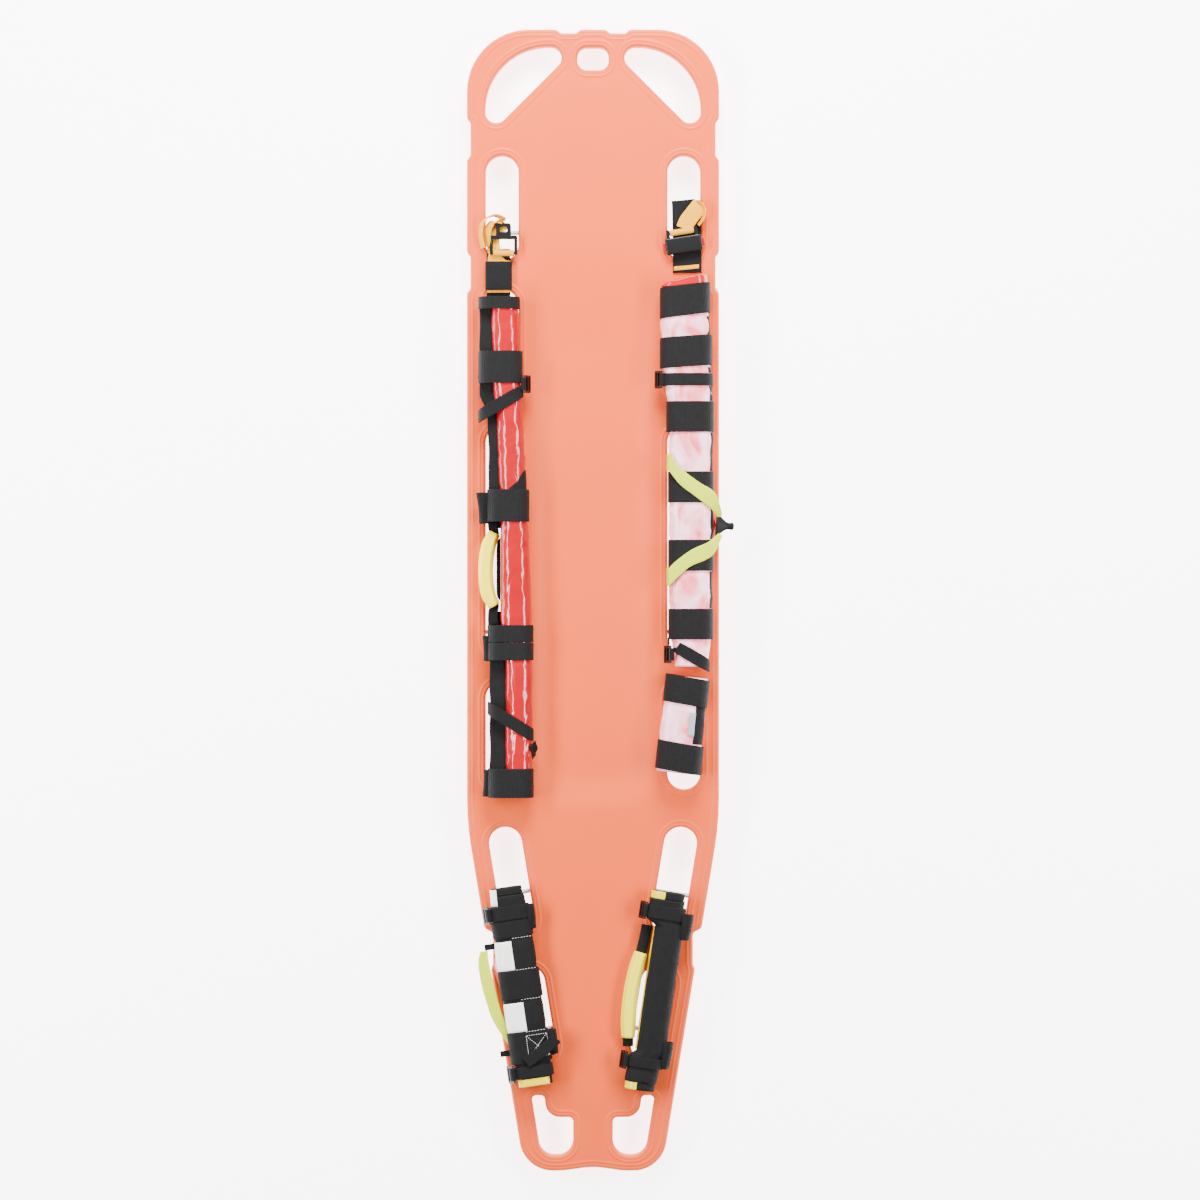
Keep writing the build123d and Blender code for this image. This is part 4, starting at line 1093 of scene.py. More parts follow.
@dataclass
class Board:
    """The moulded board with its clip pins: its top is laid anew, with rounded rims and a bead inside them."""

    body: str = "board"
    top: float = 45.0
    rim_radius: float = 6.0
    rim_foot: float = 39.0
    lowest_top: float = 36.5
    bead_place: float = 9.6
    bead_width: float = 1.7
    bead_height: float = 0.9
    rim_step: float = 4.0
    grid_step: float = 6.5
    rings: Sequence[float] = (0.35, 0.9, 1.7, 2.7, 3.9, 5.3, 6.6, 7.6, 8.6, 9.6, 10.6, 11.6, 12.8, 14.6, 17.6)

    def build(self) -> None:
        """Lays the top and dresses the other pieces."""
        shell = frame["nodes"]["board_shell"]
        work = bmesh.new()
        work.from_mesh(shell.data)
        bmesh.ops.remove_doubles(work, verts=work.verts, dist=1e-6)
        tree = BVHTree.FromBMesh(work)
        upper = [f for f in work.faces if f.normal.z > 0.02
                 and f.calc_center_median().z > self.lowest_top * MM]
        bmesh.ops.delete(work, geom=upper, context="FACES")
        self.split_rim(work)
        rim = [edge for edge in work.edges if len(edge.link_faces) == 1]
        self.lay_top(work, rim, tree)
        bmesh.ops.recalc_face_normals(work, faces=work.faces)
        mesh = bpy.data.meshes.new("board_moulding")
        work.to_mesh(mesh)
        work.free()
        mesh.shade_smooth()
        mesh.set_sharp_from_angle(angle=math.radians(38.0))
        mesh.materials.append(SHELF.board)
        obj = bpy.data.objects.new("board_moulding", mesh)
        bpy.context.scene.collection.objects.link(obj)
        place_on(obj, self.body, "board_plastic", "board_shell")
        for node, material in (("clip_pins", SHELF.pin), ("foam_core", SHELF.white)):
            data = frame["nodes"][node].data
            data.materials.clear()
            data.materials.append(material)

    def split_rim(self, work: bmesh.types.BMesh) -> None:
        """Splits long rim edges, so that they match the rows laid along them."""
        for edge in [edge for edge in work.edges if len(edge.link_faces) == 1]:
            near = edge.verts[0]
            for left in range(int(edge.calc_length() / (self.rim_step * MM)) + 1, 1, -1):
                _, near = bmesh.utils.edge_split(edge, near, 1.0 / left)

    def lay_top(self, work: bmesh.types.BMesh, rim: list[bmesh.types.BMEdge], tree: BVHTree) -> None:
        """Fills the rim with rows at set distances from it and a grid further in.

        Args:
            work: The board without its top.
            rim: Its open edges.
            tree: The whole board, for heights.
        """
        corners = list({vert for edge in rim for vert in edge.verts})
        index = {vert: number for number, vert in enumerate(corners)}
        ends = np.array([[index[vert] for vert in edge.verts] for edge in rim])
        plan = np.array([vert.co[:2] for vert in corners]) / MM
        start, end = plan[ends[:, 0]], plan[ends[:, 1]]
        along = end - start
        length = np.linalg.norm(along, axis=1)
        middle = (start + end) / 2
        across = np.stack([-along[:, 1], along[:, 0]], axis=1) / np.maximum(length, 1e-9)[:, None]
        inside = np.array([self.height_at(tree, *(point + 0.4 * side)) is not None
                           for point, side in zip(middle, across)])
        across = np.where(inside[:, None], across, -across)
        normal = np.zeros_like(plan)
        np.add.at(normal, ends[:, 0], across)
        np.add.at(normal, ends[:, 1], across)
        normal /= np.maximum(np.linalg.norm(normal, axis=1, keepdims=True), 1e-9)
        samples = np.concatenate([start + along * share for share in np.linspace(0.0, 1.0, 9)[:-1]])
        near = KDTree(len(samples))
        for number, sample in enumerate(samples):
            near.insert((*sample, 0.0), number)
        near.balance()
        keep = self.thin(plan)
        rows = [(plan + normal * ring, ring, 0.12 + 0.03 * ring) for ring in self.rings]
        half_x, half_y = np.abs(plan).max(axis=0)
        grid_x, grid_y = np.meshgrid(np.arange(-half_x, half_x, self.grid_step),
                                     np.arange(-half_y, half_y, self.grid_step), indexing="ij")
        shift = 0.5 * self.grid_step * (np.arange(grid_x.shape[1]) % 2)
        grid = np.stack([grid_x + shift[None, :], grid_y], axis=2).reshape(-1, 2)
        points, heights = [], []
        for cloud, ring, slack in rows:
            for point in cloud[keep]:
                distance = near.find((*point, 0.0))[2]
                if distance < ring - slack:
                    continue
                height = self.height_at(tree, *point)
                if height is not None:
                    points.append(point)
                    heights.append((distance, height))
        for point in grid:
            distance = near.find((*point, 0.0))[2]
            if distance > self.rings[-1] + 0.6 * self.grid_step:
                height = self.height_at(tree, *point)
                if height is not None:
                    points.append(point)
                    heights.append((distance, height))
        distance, height = np.array(heights).T
        z = self.profile(distance, height)
        plan_all = [Vector(point) for point in plan] + [Vector(point) for point in points]
        flat, _, faces, origins, _, _ = delaunay_2d_cdt(plan_all, ends.tolist(), [], 0, 1e-5)
        made: list[bmesh.types.BMVert] = []
        for place, sources in zip(flat, origins):
            source = sources[0] if sources else -1
            if 0 <= source < len(corners):
                made.append(corners[source])
            else:
                level = z[source - len(corners)] if source >= 0 else self.top
                made.append(work.verts.new((place[0] * MM, place[1] * MM, level * MM)))
        for face in faces:
            x, y = (sum(flat[corner][axis] for corner in face) / 3 for axis in (0, 1))
            if self.height_at(tree, x, y) is not None:
                corner_verts = [made[corner] for corner in face]
                if work.faces.get(corner_verts) is None:
                    work.faces.new(corner_verts)
        bmesh.ops.delete(work, geom=[vert for vert in work.verts if not vert.link_faces], context="VERTS")
        inner = [vert for vert, origin in zip(made, origins) if vert.is_valid and origin
                 and origin[0] >= len(corners) and distance[origin[0] - len(corners)] > 14.0]
        for _ in range(6):
            bmesh.ops.smooth_vert(work, verts=inner, factor=0.5, use_axis_z=True)

    def thin(self, plan: Array) -> Array:
        """Numbers of rim points that are kept: all but those that crowd an earlier one."""
        kept: list[int] = []
        cells: set[tuple[int, int]] = set()
        for number, (x, y) in enumerate(plan):
            cell = (round(x / 2.4), round(y / 2.4))
            if cell not in cells:
                cells.add(cell)
                kept.append(number)
        return np.array(kept)

    def height_at(self, tree: BVHTree, x: float, y: float) -> float | None:
        """Height of the moulding's top at a point, or nothing where there is an opening."""
        hit = tree.ray_cast(Vector((x * MM, y * MM, 0.2)), Vector((0.0, 0.0, -1.0)))[0]
        return None if hit is None or hit.z < self.lowest_top * MM else hit.z / MM

    def profile(self, distance: Array, height: Array) -> Array:
        """Height by distance from the rim: a quarter round, then a shallow groove with a bead in it.

        Args:
            distance: Distance from the nearest rim.
            height: Height of the plain moulding.

        Returns:
            Heights: foot + sqrt(r^2 - (r - d)^2) inside the round, and beyond it the plain height, sunk by
            the bead's height and raised by it times exp(-((d - place) / width)^2).
        """
        inside = np.clip(self.rim_radius - distance, 0.0, self.rim_radius)
        round_part = self.rim_foot + np.sqrt(self.rim_radius**2 - inside**2)
        sink = self.bead_height * smooth((distance - 3.0) / 4.0) * (1.0 - smooth((distance - 14.0) / 14.0))
        bead = self.bead_height * np.exp(-(((distance - self.bead_place) / self.bead_width) ** 2))
        plain = np.where(distance < self.rim_radius, round_part, height)
        return plain - sink + bead


# Left long wrap


@dataclass
class LeftWrap:
    """Left long wrap: red roll, folded webbing along it, bands, slanting straps and the carrying handle."""

    body: str = "left_wrap"
    stations: Stations = (
        (480.0, -163.0, -119.5), (345.0, -161.0, -114.5), (300.0, -154.0, -112.5), (240.0, -153.0, -109.5),
        (118.0, -147.0, -103.5), (-40.0, -147.0, -97.5), (-110.0, -140.0, -97.0), (-312.0, -140.0, -97.0),
    )
    bands: Sequence[tuple[float, float]] = (
        (483.9, 464.7), (397.4, 346.2), (176.5, 125.2), (-67.4, -95.8), (-268.7, -315.1), (-39.7, -66.9),
    )
    bundles: Sequence[tuple[float, float, float, float]] = (
        (478.0, 304.0, -181.0, -163.6), (294.0, 128.0, -167.0, -154.6), (-44.0, -310.0, -166.0, -147.6),
    )
    roll: Bundle = field(init=False)

    def __post_init__(self) -> None:
        """Makes the bundle."""
        self.roll = Bundle(self.stations, LONG_HEIGHT, self.bands, fold_width=17.0, fold_length=26.0,
                           fold_height=1.7, seed=3, proud=1.0)

    def left_side(self, high: float, low: float) -> float:
        """Outermost left edge of webbing and roll between two rows."""
        edges = [left for top, bottom, left, _ in self.bundles if bottom < high and low < top]
        return min(edges + [float(edges_at(self.stations, np.array([high, low]))[0].min())])

    def build(self) -> None:
        """Builds every piece of the wrap."""
        cloth = mesh_object("left_red_roll", [self.roll.shell(480.0, -312.0)], SHELF.red)
        place_on(cloth, self.body, "red_cloth", "left_roll")
        self.build_edge_webbing()
        hoops = [
            self.roll.band(high, low, left=self.left_side(high, low), seed=index)
            for index, (high, low) in enumerate(self.bands)
        ]
        place_on(mesh_object("left_hook_bands", hoops, SHELF.elastic), self.body, "black_webbing",
                 "left_bands")
        slants = [
            self.roll.over(-139.0, 318.0, 30.0, 20.0, left=self.left_side(330.0, 306.0), seed=11),
            self.roll.over(-134.0, -192.0, -31.0, 20.0, left=self.left_side(-170.0, -210.0), seed=12),
            self.wedge(),
        ]
        place_on(mesh_object("left_slant_straps", slants, SHELF.black), self.body, "black_webbing",
                 "left_diagonal_straps")
        ring = self.roll.lock_loop(-114.0, 344.6, Side.RIGHT)
        place_on(mesh_object("left_lock_ring", [ring], SHELF.black), self.body, "black_webbing",
                 "left_lock_loop")
        tail_path = spline([(-96.2, -229.0, 80.0), (-95.6, -235.0, 74.0), (-94.0, -243.0, 67.0),
                            (-95.4, -252.0, 60.0)], 24)
        tail = strap(tail_path, np.array([0.25, 0.8, 0.2]), 17.0, 1.8, curl=0.5, seed=5)
        place_on(mesh_object("left_tail", [tail], SHELF.black), self.body, "black_webbing", "left_strap_tail")
        soften("left_ladder_lock", "left_ladder_lock", "black_plastic", SHELF.plastic, 0.5)
        self.build_handle()

    def wedge(self) -> Surface:
        """Cloth pulled slanting out of the third band: on the bundle, from the band to a rising edge.

        Returns:
            The cloth's surface.
        """
        share, rise = np.meshgrid(np.linspace(0.36, 0.82, 60), np.linspace(0.0, 1.0, 16))
        left, right = edges_at(self.stations, 176.0 + 32.0 * rise)
        x, z = stadium(left, right, LONG_HEIGHT, share, 1.0)
        slope = 3.0 + 34.0 * smooth((x + 134.0) / 30.0)
        y = 172.0 + slope * rise
        x_in, z_in = stadium(left, right, LONG_HEIGHT, share, -0.6)
        points = np.concatenate([np.stack([x, y, z], axis=2), np.stack([x_in, y, z_in], axis=2)[:, ::-1]],
                                axis=1)
        return Surface(points, chart_of(points, False, True), closed_cols=True, capped=True)

    def build_edge_webbing(self) -> None:
        """Webbing folded back and forth along the roll's outer flank, with sewn loops beside the bands."""
        runs = (
            ((478.0, -181.0), (400.0, -181.5), (322.0, -180.0), (300.0, -168.5), (240.0, -166.5),
             (128.5, -167.5)),
            ((-44.5, -165.5), (-110.0, -165.0), (-200.0, -164.5), (-310.0, -165.0)),
        )
        layers = []
        for number, run in enumerate(runs):
            y = np.linspace(run[0][0], run[-1][0], int((run[0][0] - run[-1][0]) / 14.0) + 2)
            rows = np.array(sorted(run))
            outer = np.interp(y, rows[:, 0], rows[:, 1])
            inner = edges_at(self.stations, y)[0] + 2.2
            for level, z in enumerate((62.8, 66.4, 70.2)):
                sway = 1.1 * noise(y / 34.0, np.full_like(y, 3.1 * level + number), 21)
                rise = 0.7 * noise(y / 26.0, np.full_like(y, 1.7 * level + number), 22)
                one = np.stack([outer + sway + 0.7 * (2 - level), y, z + rise], axis=1)
                two = np.stack([inner, y, z + rise + 0.5 * level], axis=1)
                layers.append(ribbon(one.tolist(), two.tolist(), 3.0, int(abs(y[0] - y[-1]) / 4), 0.5,
                                     31 + 3 * number + level))
        layers.append(ribbon(
            [(-147.0, 127.0, 47.7), (-147.0, 104.0, 47.7), (-154.0, 90.0, 47.7), (-154.5, 48.0, 47.7),
             (-154.0, 8.0, 47.7), (-147.0, -6.0, 47.7), (-147.0, -42.0, 47.7)],
            [(-131.0, 127.0, 47.7), (-131.0, 90.0, 47.7), (-131.0, 48.0, 47.7), (-131.0, 8.0, 47.7),
             (-131.0, -42.0, 47.7)], 2.6, 60, seed=44))
        for high, low in ((127.0, 115.0), (-18.0, -42.0)):
            middle = (high + low) / 2
            layers.append(ribbon([(-168.0, high, 46.7), (-168.5, middle, 46.7), (-168.0, low, 46.7)],
                                 [(-140.0, high, 46.7), (-140.0, middle, 46.7), (-140.0, low, 46.7)], 2.4,
                                 12, seed=45))
        for middle, reach, width, lean in ((369.0, -183.6, 31.0, 0.06), (147.0, -184.0, 50.0, -0.12),
                                           (-77.0, -175.6, 41.0, -0.06), (-292.0, -175.4, 43.0, 0.05)):
            side = spline([(reach + 17.0, middle, 70.0), (reach + 6.0, middle, 71.2),
                           (reach + 1.2, middle, 66.6),
                           (reach + 5.0, middle, 62.4), (reach + 17.0, middle, 62.0)], 34)
            layers.append(strap(side, np.array([lean, 1.0, 0.08]), width, 2.0, curl=-0.6,
                                seed=int(middle) % 50))
        place_on(mesh_object("left_folded_webbing", layers, SHELF.black), self.body, "black_webbing",
                 "left_edge_webbing")

    def build_handle(self) -> None:
        """Banana-shaped grip with soft lengthwise ribs, and the webbing that runs through it."""
        path = spline([(-157.0, 108.0, 57.9), (-167.0, 86.0, 57.9), (-171.6, 50.0, 57.9),
                       (-168.0, 12.0, 57.9),
                       (-157.4, -10.0, 57.9)], 60)
        share = np.linspace(0.0, 1.0, 60)
        rim = np.minimum(share, 1.0 - share)
        radii = 9.2 + 1.9 * smooth(rim / 0.22) - 1.6 * (1.0 - smooth(rim / 0.02))
        grip = mesh_object("left_banana_grip", [tube(path, radii, 60, 6, 0.75)], SHELF.grip)
        place_on(grip, "left_handle", "lime_grip", "left_handle_grip")
        tails = []
        for start, end, far in (((-157.0, 104.0), (-160.0, 118.0), (-160.0, 124.5)),
                                ((-157.4, -6.0), (-160.0, -24.0), (-160.0, -39.0))):
            line = spline([(*start, 57.9), (*end, 58.0), (*far, 57.8)], 20)
            tails.append(strap(line, np.array([1.0, 0.0, 0.0]), 15.6, 2.0, seed=17))
        place_on(mesh_object("left_handle_straps", tails, SHELF.black), "left_handle", "black_webbing",
                 "left_handle_webbing")


# Shoulder straps


@dataclass
class LeftShoulder:
    """Left shoulder strap: backing, keeper band, yellow webbing and the buckle's tongue."""

    body: str = "left_wrap"

    def build(self) -> None:
        """Builds the strap and its tongue."""
        backing = spline([(-151.0, 486.0, 48.6), (-151.0, 524.0, 48.6), (-151.5, 562.0, 48.9)], 30)
        piece = mesh_object("left_strap_backing",
                            [strap(backing, np.array([1.0, 0.0, 0.0]), 37.6, 2.0, seed=2)],
                            SHELF.black)
        place_on(piece, self.body, "black_webbing", "left_shoulder_backing")
        self.build_keeper()
        strip = spline([(-151.0, 492.0, 51.6), (-151.0, 520.0, 51.2), (-150.0, 545.0, 51.0),
                        (-147.0, 551.0, 51.2)], 30)
        ring_angle = np.linspace(0.0, 2 * math.pi, 36, endpoint=False)
        ring = np.stack([np.full(36, -143.0), 555.0 + 3.95 * np.cos(ring_angle),
                         55.1 + 3.95 * np.sin(ring_angle)], axis=1)
        pieces = [
            strap(strip, np.array([1.0, 0.0, 0.0]), 37.0, 1.8, seed=4),
            strap(ring, np.array([1.0, 0.0, 0.0]), 33.0, 1.9, closed=True, seed=6),
            *self.crumple(),
        ]
        place_on(mesh_object("left_amber_webbing", pieces, SHELF.amber), self.body, "yellow_webbing",
                 "left_shoulder_webbing")
        soften("left_buckle_tongue", "left_tongue", "black_plastic", SHELF.plastic, 0.9)

    def build_keeper(self) -> None:
        """Soft black band around the strap."""
        angle = np.linspace(0.0, 2 * math.pi, 96, endpoint=False)
        power = 0.34
        x = -151.0 + 20.2 * np.sign(np.cos(angle)) * np.abs(np.cos(angle)) ** power
        z = REST + 5.0 + 4.0 * np.sign(np.sin(angle)) * np.abs(np.sin(angle)) ** power
        path = np.stack([x, np.full(96, 519.0), z], axis=1)
        band = strap(path, np.array([0.0, 1.0, 0.0]), 46.0, 2.0, closed=True, seed=8)
        place_on(mesh_object("left_keeper_band", [band], SHELF.black), self.body, "black_webbing",
                 "left_shoulder_keeper")

    def crumple(self) -> list[Surface]:
        """Spare webbing folded back on itself in standing loops.

        Returns:
            The loops' surfaces.
        """
        loops = []
        outer = spline([(-176.0, 563.0, 52.6), (-179.5, 586.0, 53.4), (-175.0, 606.0, 54.2),
                        (-158.0, 615.0, 53.6),
                        (-140.0, 609.0, 52.4)], 60)
        loops.append(strap(outer, np.array([0.45, 0.15, 0.9]), 14.6, 1.9, curl=1.2, seed=51))
        inner = spline([(-167.0, 566.0, 52.4), (-169.0, 588.0, 52.8), (-161.0, 603.0, 53.4),
                        (-146.0, 602.0, 52.4)], 50)
        loops.append(strap(inner, np.array([0.75, -0.1, 0.6]), 14.6, 1.9, curl=0.9, seed=52))
        flat = spline([(-158.0, 556.0, 50.9), (-160.0, 578.0, 49.8), (-155.0, 594.0, 49.8),
                       (-141.0, 603.0, 50.2)], 40)
        loops.append(strap(flat, np.array([1.0, 0.2, 0.1]), 21.0, 1.9, curl=0.4, seed=53))
        return loops


@dataclass
class RightShoulder:
    """Right shoulder strap: black webbing, the folded yellow end and the push-button buckle."""

    body: str = "right_wrap"

    def build(self) -> None:
        """Builds the strap and dresses the buckle."""
        lower = spline([(151.0, 524.0, 46.4), (150.5, 580.0, 46.4), (149.0, 640.0, 46.4)], 40)
        upper = spline([(148.0, 602.0, 48.8), (146.5, 622.0, 48.7), (144.5, 640.5, 48.7)], 24)
        pieces = [
            strap(lower, np.array([1.0, 0.0, 0.0]), 46.0, 1.9, seed=61),
            strap(upper, np.array([1.0, 0.12, 0.0]), 38.0, 1.9, seed=62),
        ]
        place_on(mesh_object("right_strap_webbing", pieces, SHELF.black), self.body, "black_webbing",
                 "right_shoulder_webbing")
        line = ribbon([(129.5, 534.0, 48.3), (150.0, 535.6, 48.4), (169.5, 537.6, 48.3)],
                      [(129.5, 527.6, 48.3), (150.0, 529.2, 48.4), (169.5, 531.2, 48.3)], 1.2, 20, 0.4, 67)
        place_on(mesh_object("right_amber_bar_tack", [line], SHELF.amber), self.body, "yellow_webbing")
        self.build_yellow()
        soften("right_buckle_housing", "right_buckle", "black_plastic", SHELF.plastic, 0.8)
        soften("right_buckle_latch", "right_buckle", "steel", SHELF.steel, 0.3)
        springs = frame["nodes"]["right_buckle_springs"]
        springs.data.materials.clear()
        springs.data.materials.append(SHELF.steel)
        for name in ("left", "right"):
            node = f"right_buckle_button_{name}"
            soften(node, node, "red_plastic", SHELF.button, 0.5)

    def build_yellow(self) -> None:
        """Yellow webbing wound round the buckle's bar and folded over above it."""
        turn = math.radians(9.0)
        angle = np.linspace(0.0, 2 * math.pi, 36, endpoint=False)
        ring = np.stack([142.0 - 3.95 * np.cos(angle) * math.sin(turn),
                         589.5 + 3.95 * np.cos(angle) * math.cos(turn),
                         54.1 + 3.95 * np.sin(angle)], axis=1)
        axis = np.array([math.cos(turn), math.sin(turn), 0.0])
        fold = spline([(146.0, 594.0, 53.0), (151.0, 606.0, 53.2), (160.0, 618.0, 54.2), (168.0, 628.0, 54.4),
                       (172.0, 633.0, 54.0)], 50)
        back = spline([(166.0, 636.0, 55.0), (174.5, 628.0, 56.6), (175.5, 612.0, 56.8),
                       (168.0, 600.0, 55.0)], 44)
        pieces = [
            strap(ring, axis, 38.6, 1.9, closed=True, seed=64),
            strap(fold, np.array([0.85, -0.5, 0.1]), 27.0, 1.9, curl=0.6, seed=65),
            strap(back, np.array([0.5, 0.3, 0.75]), 13.0, 1.9, curl=1.1, seed=66),
        ]
        place_on(mesh_object("right_amber_webbing", pieces, SHELF.amber), self.body, "yellow_webbing",
                 "right_shoulder_yellow_webbing")


# Right long wrap


@dataclass
class RightWrap:
    """Right long wrap: pale pink roll with a turn at its neck, bands, adjusters and lining; its grab strap is
    built by GrabStrap.
    """

    body: str = "right_wrap"
    stations: Stations = (
        (499.0, 109.0, 183.5), (372.0, 109.0, 188.0), (330.0, 117.5, 190.0), (300.0, 121.5, 191.0),
        (-58.0, 122.5, 189.5), (-84.0, 131.0, 185.0), (-106.0, 131.0, 180.0),
    )
    bands: Sequence[tuple[float, float, float]] = (
        (478.3, 49.0, 7.0), (396.6, 49.0, 4.0), (351.8, 20.0, 0.0), (292.6, 49.0, 0.0), (180.5, 49.6, 0.0),
        (71.6, 49.6, 0.0), (-38.1, 49.0, 0.0),
    )
    lower_place: tuple[float, float, float] = (143.5, -198.0, -6.0)
    lower_stations: Stations = ((76.0, -33.0, 33.0), (-78.0, -35.0, 35.0))
    lower_bands: Sequence[tuple[float, float, float]] = ((54.0, 44.0, -4.0), (-53.0, 46.0, -4.0))

    def build(self) -> None:
        """Builds every piece of the wrap."""
        cinches = [(y + length / 2, y - length / 2) for y, length, _ in self.bands]
        roll = Bundle(self.stations, LONG_HEIGHT, cinches, fold_width=24.0, fold_length=34.0,
                      fold_height=2.6, seed=7,
                      proud=2.2)
        upper = mesh_object("right_pink_roll", [roll.shell(499.0, -106.0)], SHELF.pink)
        place_on(upper, self.body, "pink_cloth", "right_roll")
        hem = Bundle(((519.3, 112.0, 181.0), (499.3, 109.0, 183.5)), LONG_HEIGHT, fold_height=0.8, seed=9)
        fold = hem.shell(519.3, 499.6, step=1.5)
        drop = smooth((fold.points[..., 1] - 501.0) / 16.0) * np.clip(168.0 - fold.points[..., 0], 0.0, 60.0)
        fold.points[..., 1] -= 0.26 * drop
        place_on(mesh_object("right_red_lining", [fold], SHELF.lining), self.body, "red_lining",
                 "right_lining")
        sliver = ribbon([(184.0, 140.0, 58.6), (184.0, 121.0, 58.6), (184.0, 102.0, 58.6)],
                        [(190.5, 139.0, 58.6), (196.5, 121.0, 58.2), (190.5, 103.0, 58.6)], 1.6, 24, 0.3, 46)
        place_on(mesh_object("right_orange_sliver", [sliver], SHELF.orange_red), self.body, "red_lining")
        gaps = [(low - 0.6, high + 0.6) for (_, low), (high, _) in zip(cinches, cinches[1:])]
        binding = [roll.shell(high, low, 0.685, 0.77, offset=0.9, thickness=1.4, around=200)
                   for high, low in gaps if high - low > 6.0]
        place_on(mesh_object("right_dark_binding", binding, SHELF.black), self.body, "black_webbing")
        hoops = [
            roll.band(y + length / 2, y - length / 2, tilt, seed=70 + index)
            for index, (y, length, tilt) in enumerate(self.bands)
        ]
        place_on(mesh_object("right_hook_bands", hoops, SHELF.elastic), self.body, "black_webbing",
                 "right_bands")
        neck = roll.over(156.0, -88.0, -30.0, 20.0, left=131.0, seed=81)
        place_on(mesh_object("right_neck_strap", [neck], SHELF.black), self.body, "black_webbing",
                 "right_diagonal_strap")
        rings = [roll.lock_loop(113.0, 351.8, Side.LEFT), roll.lock_loop(128.8, -86.2, Side.LEFT)]
        place_on(mesh_object("right_lock_rings", rings, SHELF.black), self.body, "black_webbing",
                 "right_lock_loops")
        for name in ("upper", "lower"):
            node = f"right_{name}_ladder_lock"
            soften(node, node, "black_plastic", SHELF.plastic, 0.5)
        self.build_lower()
        self.build_cord_loop()

    def build_lower(self) -> None:
        """Builds the wrap's foot end beyond the neck."""
        cinches = [(y + length / 2, y - length / 2) for y, length, _ in self.lower_bands]
        low = Bundle(self.lower_stations, LONG_HEIGHT, cinches, self.lower_place, fold_width=30.0,
                     fold_length=60.0,
                     fold_height=1.3, seed=13)
        place_on(mesh_object("right_pink_foot_roll", [low.shell(76.0, -78.0)], SHELF.pink), self.body,
                 "pink_cloth",
                 "right_lower_roll")
        hoops = [low.band(y + length / 2, y - length / 2, tilt, seed=90 + index)
                 for index, (y, length, tilt) in enumerate(self.lower_bands)]
        place_on(mesh_object("right_foot_end_bands", hoops, SHELF.elastic), self.body, "black_webbing",
                 "right_lower_bands")
        edge = low.shell(31.5, -29.5, 0.60, 0.72, offset=0.6, thickness=1.6)
        place_on(mesh_object("right_edge_strip", [edge], SHELF.black), self.body, "black_webbing",
                 "right_edge_webbing")
        tab = low.shell(20.0, -18.0, 0.545, 0.60, offset=1.3, thickness=1.0, around=300)
        place_on(mesh_object("right_bare_tab", [tab], SHELF.grey), self.body, "grey_cloth", "right_tab")

    def build_cord_loop(self) -> None:
        """Thin round cord sewn in as a small loop."""
        angle = np.linspace(0.0, 2 * math.pi, 49)
        path = np.stack([120.7 + 0.0 * angle, -65.4 + 5.0 * np.cos(angle), 66.6 + 5.0 * np.sin(angle)],
                        axis=1)
        tangent = directions(path[:-1], True)
        across = np.array([1.0, 0.0, 0.0])
        up = np.cross(across, tangent)
        round_angle = np.linspace(0.0, 2 * math.pi, 12, endpoint=False)
        twist = 1.45 + 0.12 * np.cos(3 * (round_angle[None, :] - 2.0 * np.linspace(0, 2 * math.pi,
                                                                                   48)[:, None]))
        points = (path[:-1, None] + across * (twist * np.cos(round_angle))[:, :, None]
                  + up[:, None] * (twist * np.sin(round_angle))[:, :, None])
        ring = Surface(points, chart_of(points, True, True), closed_rows=True, closed_cols=True)
        place_on(mesh_object("right_sewn_cord", [ring], SHELF.black), self.body, "cord", "right_cord_loop")


